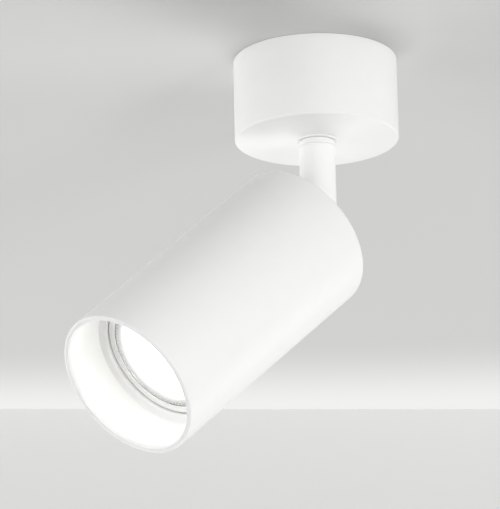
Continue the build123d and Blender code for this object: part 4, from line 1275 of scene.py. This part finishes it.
class SPOTLIGHT_OT_stage(bpy.types.Operator):
    """Set up the ceiling with painted light towards the wall, the plain wall, the soft lights, the world and
    the camera
    """

    bl_idname = "spotlight.stage"
    bl_label = "Stage"

    def execute(self, context):
        t = context.scene.spotlight_stage
        level = Vector((-math.sin(t.azimuth), math.cos(t.azimuth), 0))
        self.forward = level * math.cos(t.elevation) + Vector((0, 0, math.sin(t.elevation)))
        self.right = Vector((math.cos(t.azimuth), math.sin(t.azimuth), 0))
        self.up = self.right.cross(self.forward)
        self.camera(context, t)
        self.surfaces(t, level)
        self.lights(t, level)
        self.surroundings(context, t)
        context.scene.view_settings.view_transform = "Standard"
        return {"FINISHED"}

    def camera(self, context, t):
        """The camera, so placed that the canopy's underside falls on its place in the picture."""
        width, height = PICTURE
        focal_pixels = t.lens * height / SENSOR
        right = self.right * math.cos(t.roll) + self.up * math.sin(t.roll)
        up = self.up * math.cos(t.roll) - self.right * math.sin(t.roll)
        target = Vector((0, 0, extent("canopy")[0]))
        aside = (t.anchor_x - width / 2) / focal_pixels * t.distance
        above = (height / 2 - t.anchor_y) / focal_pixels * t.distance
        data = bpy.data.cameras.new("camera")
        data.lens = t.lens
        data.sensor_width = SENSOR
        data.clip_start, data.clip_end = CLIP
        camera = bpy.data.objects.new("camera", data)
        camera.location = target - right * aside - up * above - self.forward * t.distance
        camera.rotation_mode = "QUATERNION"
        camera.rotation_quaternion = Matrix((right, up, -self.forward)).transposed().to_quaternion()
        context.scene.collection.objects.link(camera)
        context.scene.camera = camera

    def surfaces(self, t, level):
        """A ceiling, open over the canopy and painted paler towards the wall as painted light, and a plain
        wall behind.
        """
        hole = extent("canopy")[2] - CEILING_LAP
        radii = (hole, *CEILING_RINGS, t.ceiling_radius)
        vertices = [point for radius in radii for point in ring_at(0, radius, CEILING_FACETS)]
        ceiling = mesh_object("ceiling_plane", vertices, skin(len(radii), CEILING_FACETS), ROW)
        self.face(ceiling, Vector((0, 0, -1)))
        near = t.ceiling_colour
        # painted light: a paler tone towards the wall stands in for the bright band of light near the corner
        far = (shaded(near, t.painted_light_tone), level, t.painted_light_start, t.painted_light_end)
        ceiling.data.materials.append(one_sided("ceiling_paint", near, far))
        side = Matrix.Rotation(t.wall_turn, 4, "Z") @ level
        across = side.cross(Vector((0, 0, 1)))
        foot = level * t.wall_distance
        reach, low = t.wall_reach, -t.wall_drop
        outline = ((-reach, 0), (reach, 0), (reach, low), (-reach, low))
        corners = [foot + across * x + Vector((0, 0, z)) for x, z in outline]
        wall = mesh_object("wall_plane", corners, [(0, 1, 2, 3)], ROW)
        self.face(wall, -side)
        wall.data.materials.append(one_sided("wall_paint", t.wall_colour))
        wall.visible_shadow = False  # so that the lights behind it reach the object
        wall.visible_diffuse = False  # so that it doesn't pale the object's back

    def face(self, surface, direction):
        """Turns a flat surface's front to a direction."""
        if surface.data.polygons[0].normal.dot(direction) < 0:
            surface.data.flip_normals()

    def lights(self, t, level):
        """Soft lights round the object."""
        target = Vector((0, 0, (CAD_BOX[0].z + CAD_BOX[1].z) / 2))
        for name, azimuth, drop, distance, size, power in LIGHTS:
            around, below = math.radians(azimuth), math.radians(drop)
            way = (self.right * math.sin(around) - level * math.cos(around)) * math.cos(below)
            way -= Vector((0, 0, math.sin(below)))
            area_light(name, target + way * distance, target, size, power * t.light)

    def surroundings(self, context, t):
        """A world that lights the object a little, and is seen in its own plain colour."""
        world = bpy.data.worlds.new("world")
        world.use_nodes = True
        tree = world.node_tree
        tree.nodes.clear()
        ambient = new_node(tree, "ShaderNodeBackground", Strength=t.ambient)
        behind = new_node(tree, "ShaderNodeBackground", Color=(*t.background, 1))
        rays = new_node(tree, "ShaderNodeLightPath")
        seen = rays.outputs["Is Camera Ray"]
        for kind in ("Is Glossy Ray", "Is Transmission Ray"):
            either = new_node(tree, "ShaderNodeMath", operation="MAXIMUM")
            tree.links.new(seen, either.inputs[0])
            tree.links.new(rays.outputs[kind], either.inputs[1])
            seen = either.outputs[0]
        choose(tree, seen, ambient, behind, "ShaderNodeOutputWorld")
        context.scene.world = world


# ---- The add-on ---------------------------------------------------------------------------

OPERATORS = (
    SPOTLIGHT_OT_hardware,
    SPOTLIGHT_OT_canopy,
    SPOTLIGHT_OT_head,
    SPOTLIGHT_OT_baffle,
    SPOTLIGHT_OT_lamp,
    SPOTLIGHT_OT_screws,
    SPOTLIGHT_OT_rings,
    SPOTLIGHT_OT_leads,
    SPOTLIGHT_OT_stage,
)


class SPOTLIGHT_PT_panel(bpy.types.Panel):
    """The spotlight's settings and build steps"""

    bl_idname = "SPOTLIGHT_PT_panel"
    bl_label = "Ceiling Spotlight"
    bl_space_type = "VIEW_3D"
    bl_region_type = "UI"
    bl_category = "Spotlight"

    def draw(self, context):
        layout = self.layout
        for operator in OPERATORS:
            layout.operator(operator.bl_idname)
        for group in (
            context.scene.spotlight_sizes,
            context.scene.spotlight_colours,
            context.scene.spotlight_stage,
        ):
            box = layout.box()
            for name in group.__annotations__:
                box.prop(group, name)


CLASSES = (SpotlightSizes, SpotlightColours, SpotlightStage, *OPERATORS, SPOTLIGHT_PT_panel)


def register():
    """Registers the classes and the scene's settings."""
    for cls in CLASSES:
        bpy.utils.register_class(cls)
    bpy.types.Scene.spotlight_sizes = PointerProperty(type=SpotlightSizes)
    bpy.types.Scene.spotlight_colours = PointerProperty(type=SpotlightColours)
    bpy.types.Scene.spotlight_stage = PointerProperty(type=SpotlightStage)


def unregister():
    """Takes the settings and the classes away again."""
    del bpy.types.Scene.spotlight_stage
    del bpy.types.Scene.spotlight_colours
    del bpy.types.Scene.spotlight_sizes
    for cls in reversed(CLASSES):
        bpy.utils.unregister_class(cls)


def main():
    """Builds everything in order."""
    register()
    for operator in OPERATORS:
        group, name = operator.bl_idname.split(".")
        getattr(getattr(bpy.ops, group), name)()


if __name__ == "__main__":
    main()
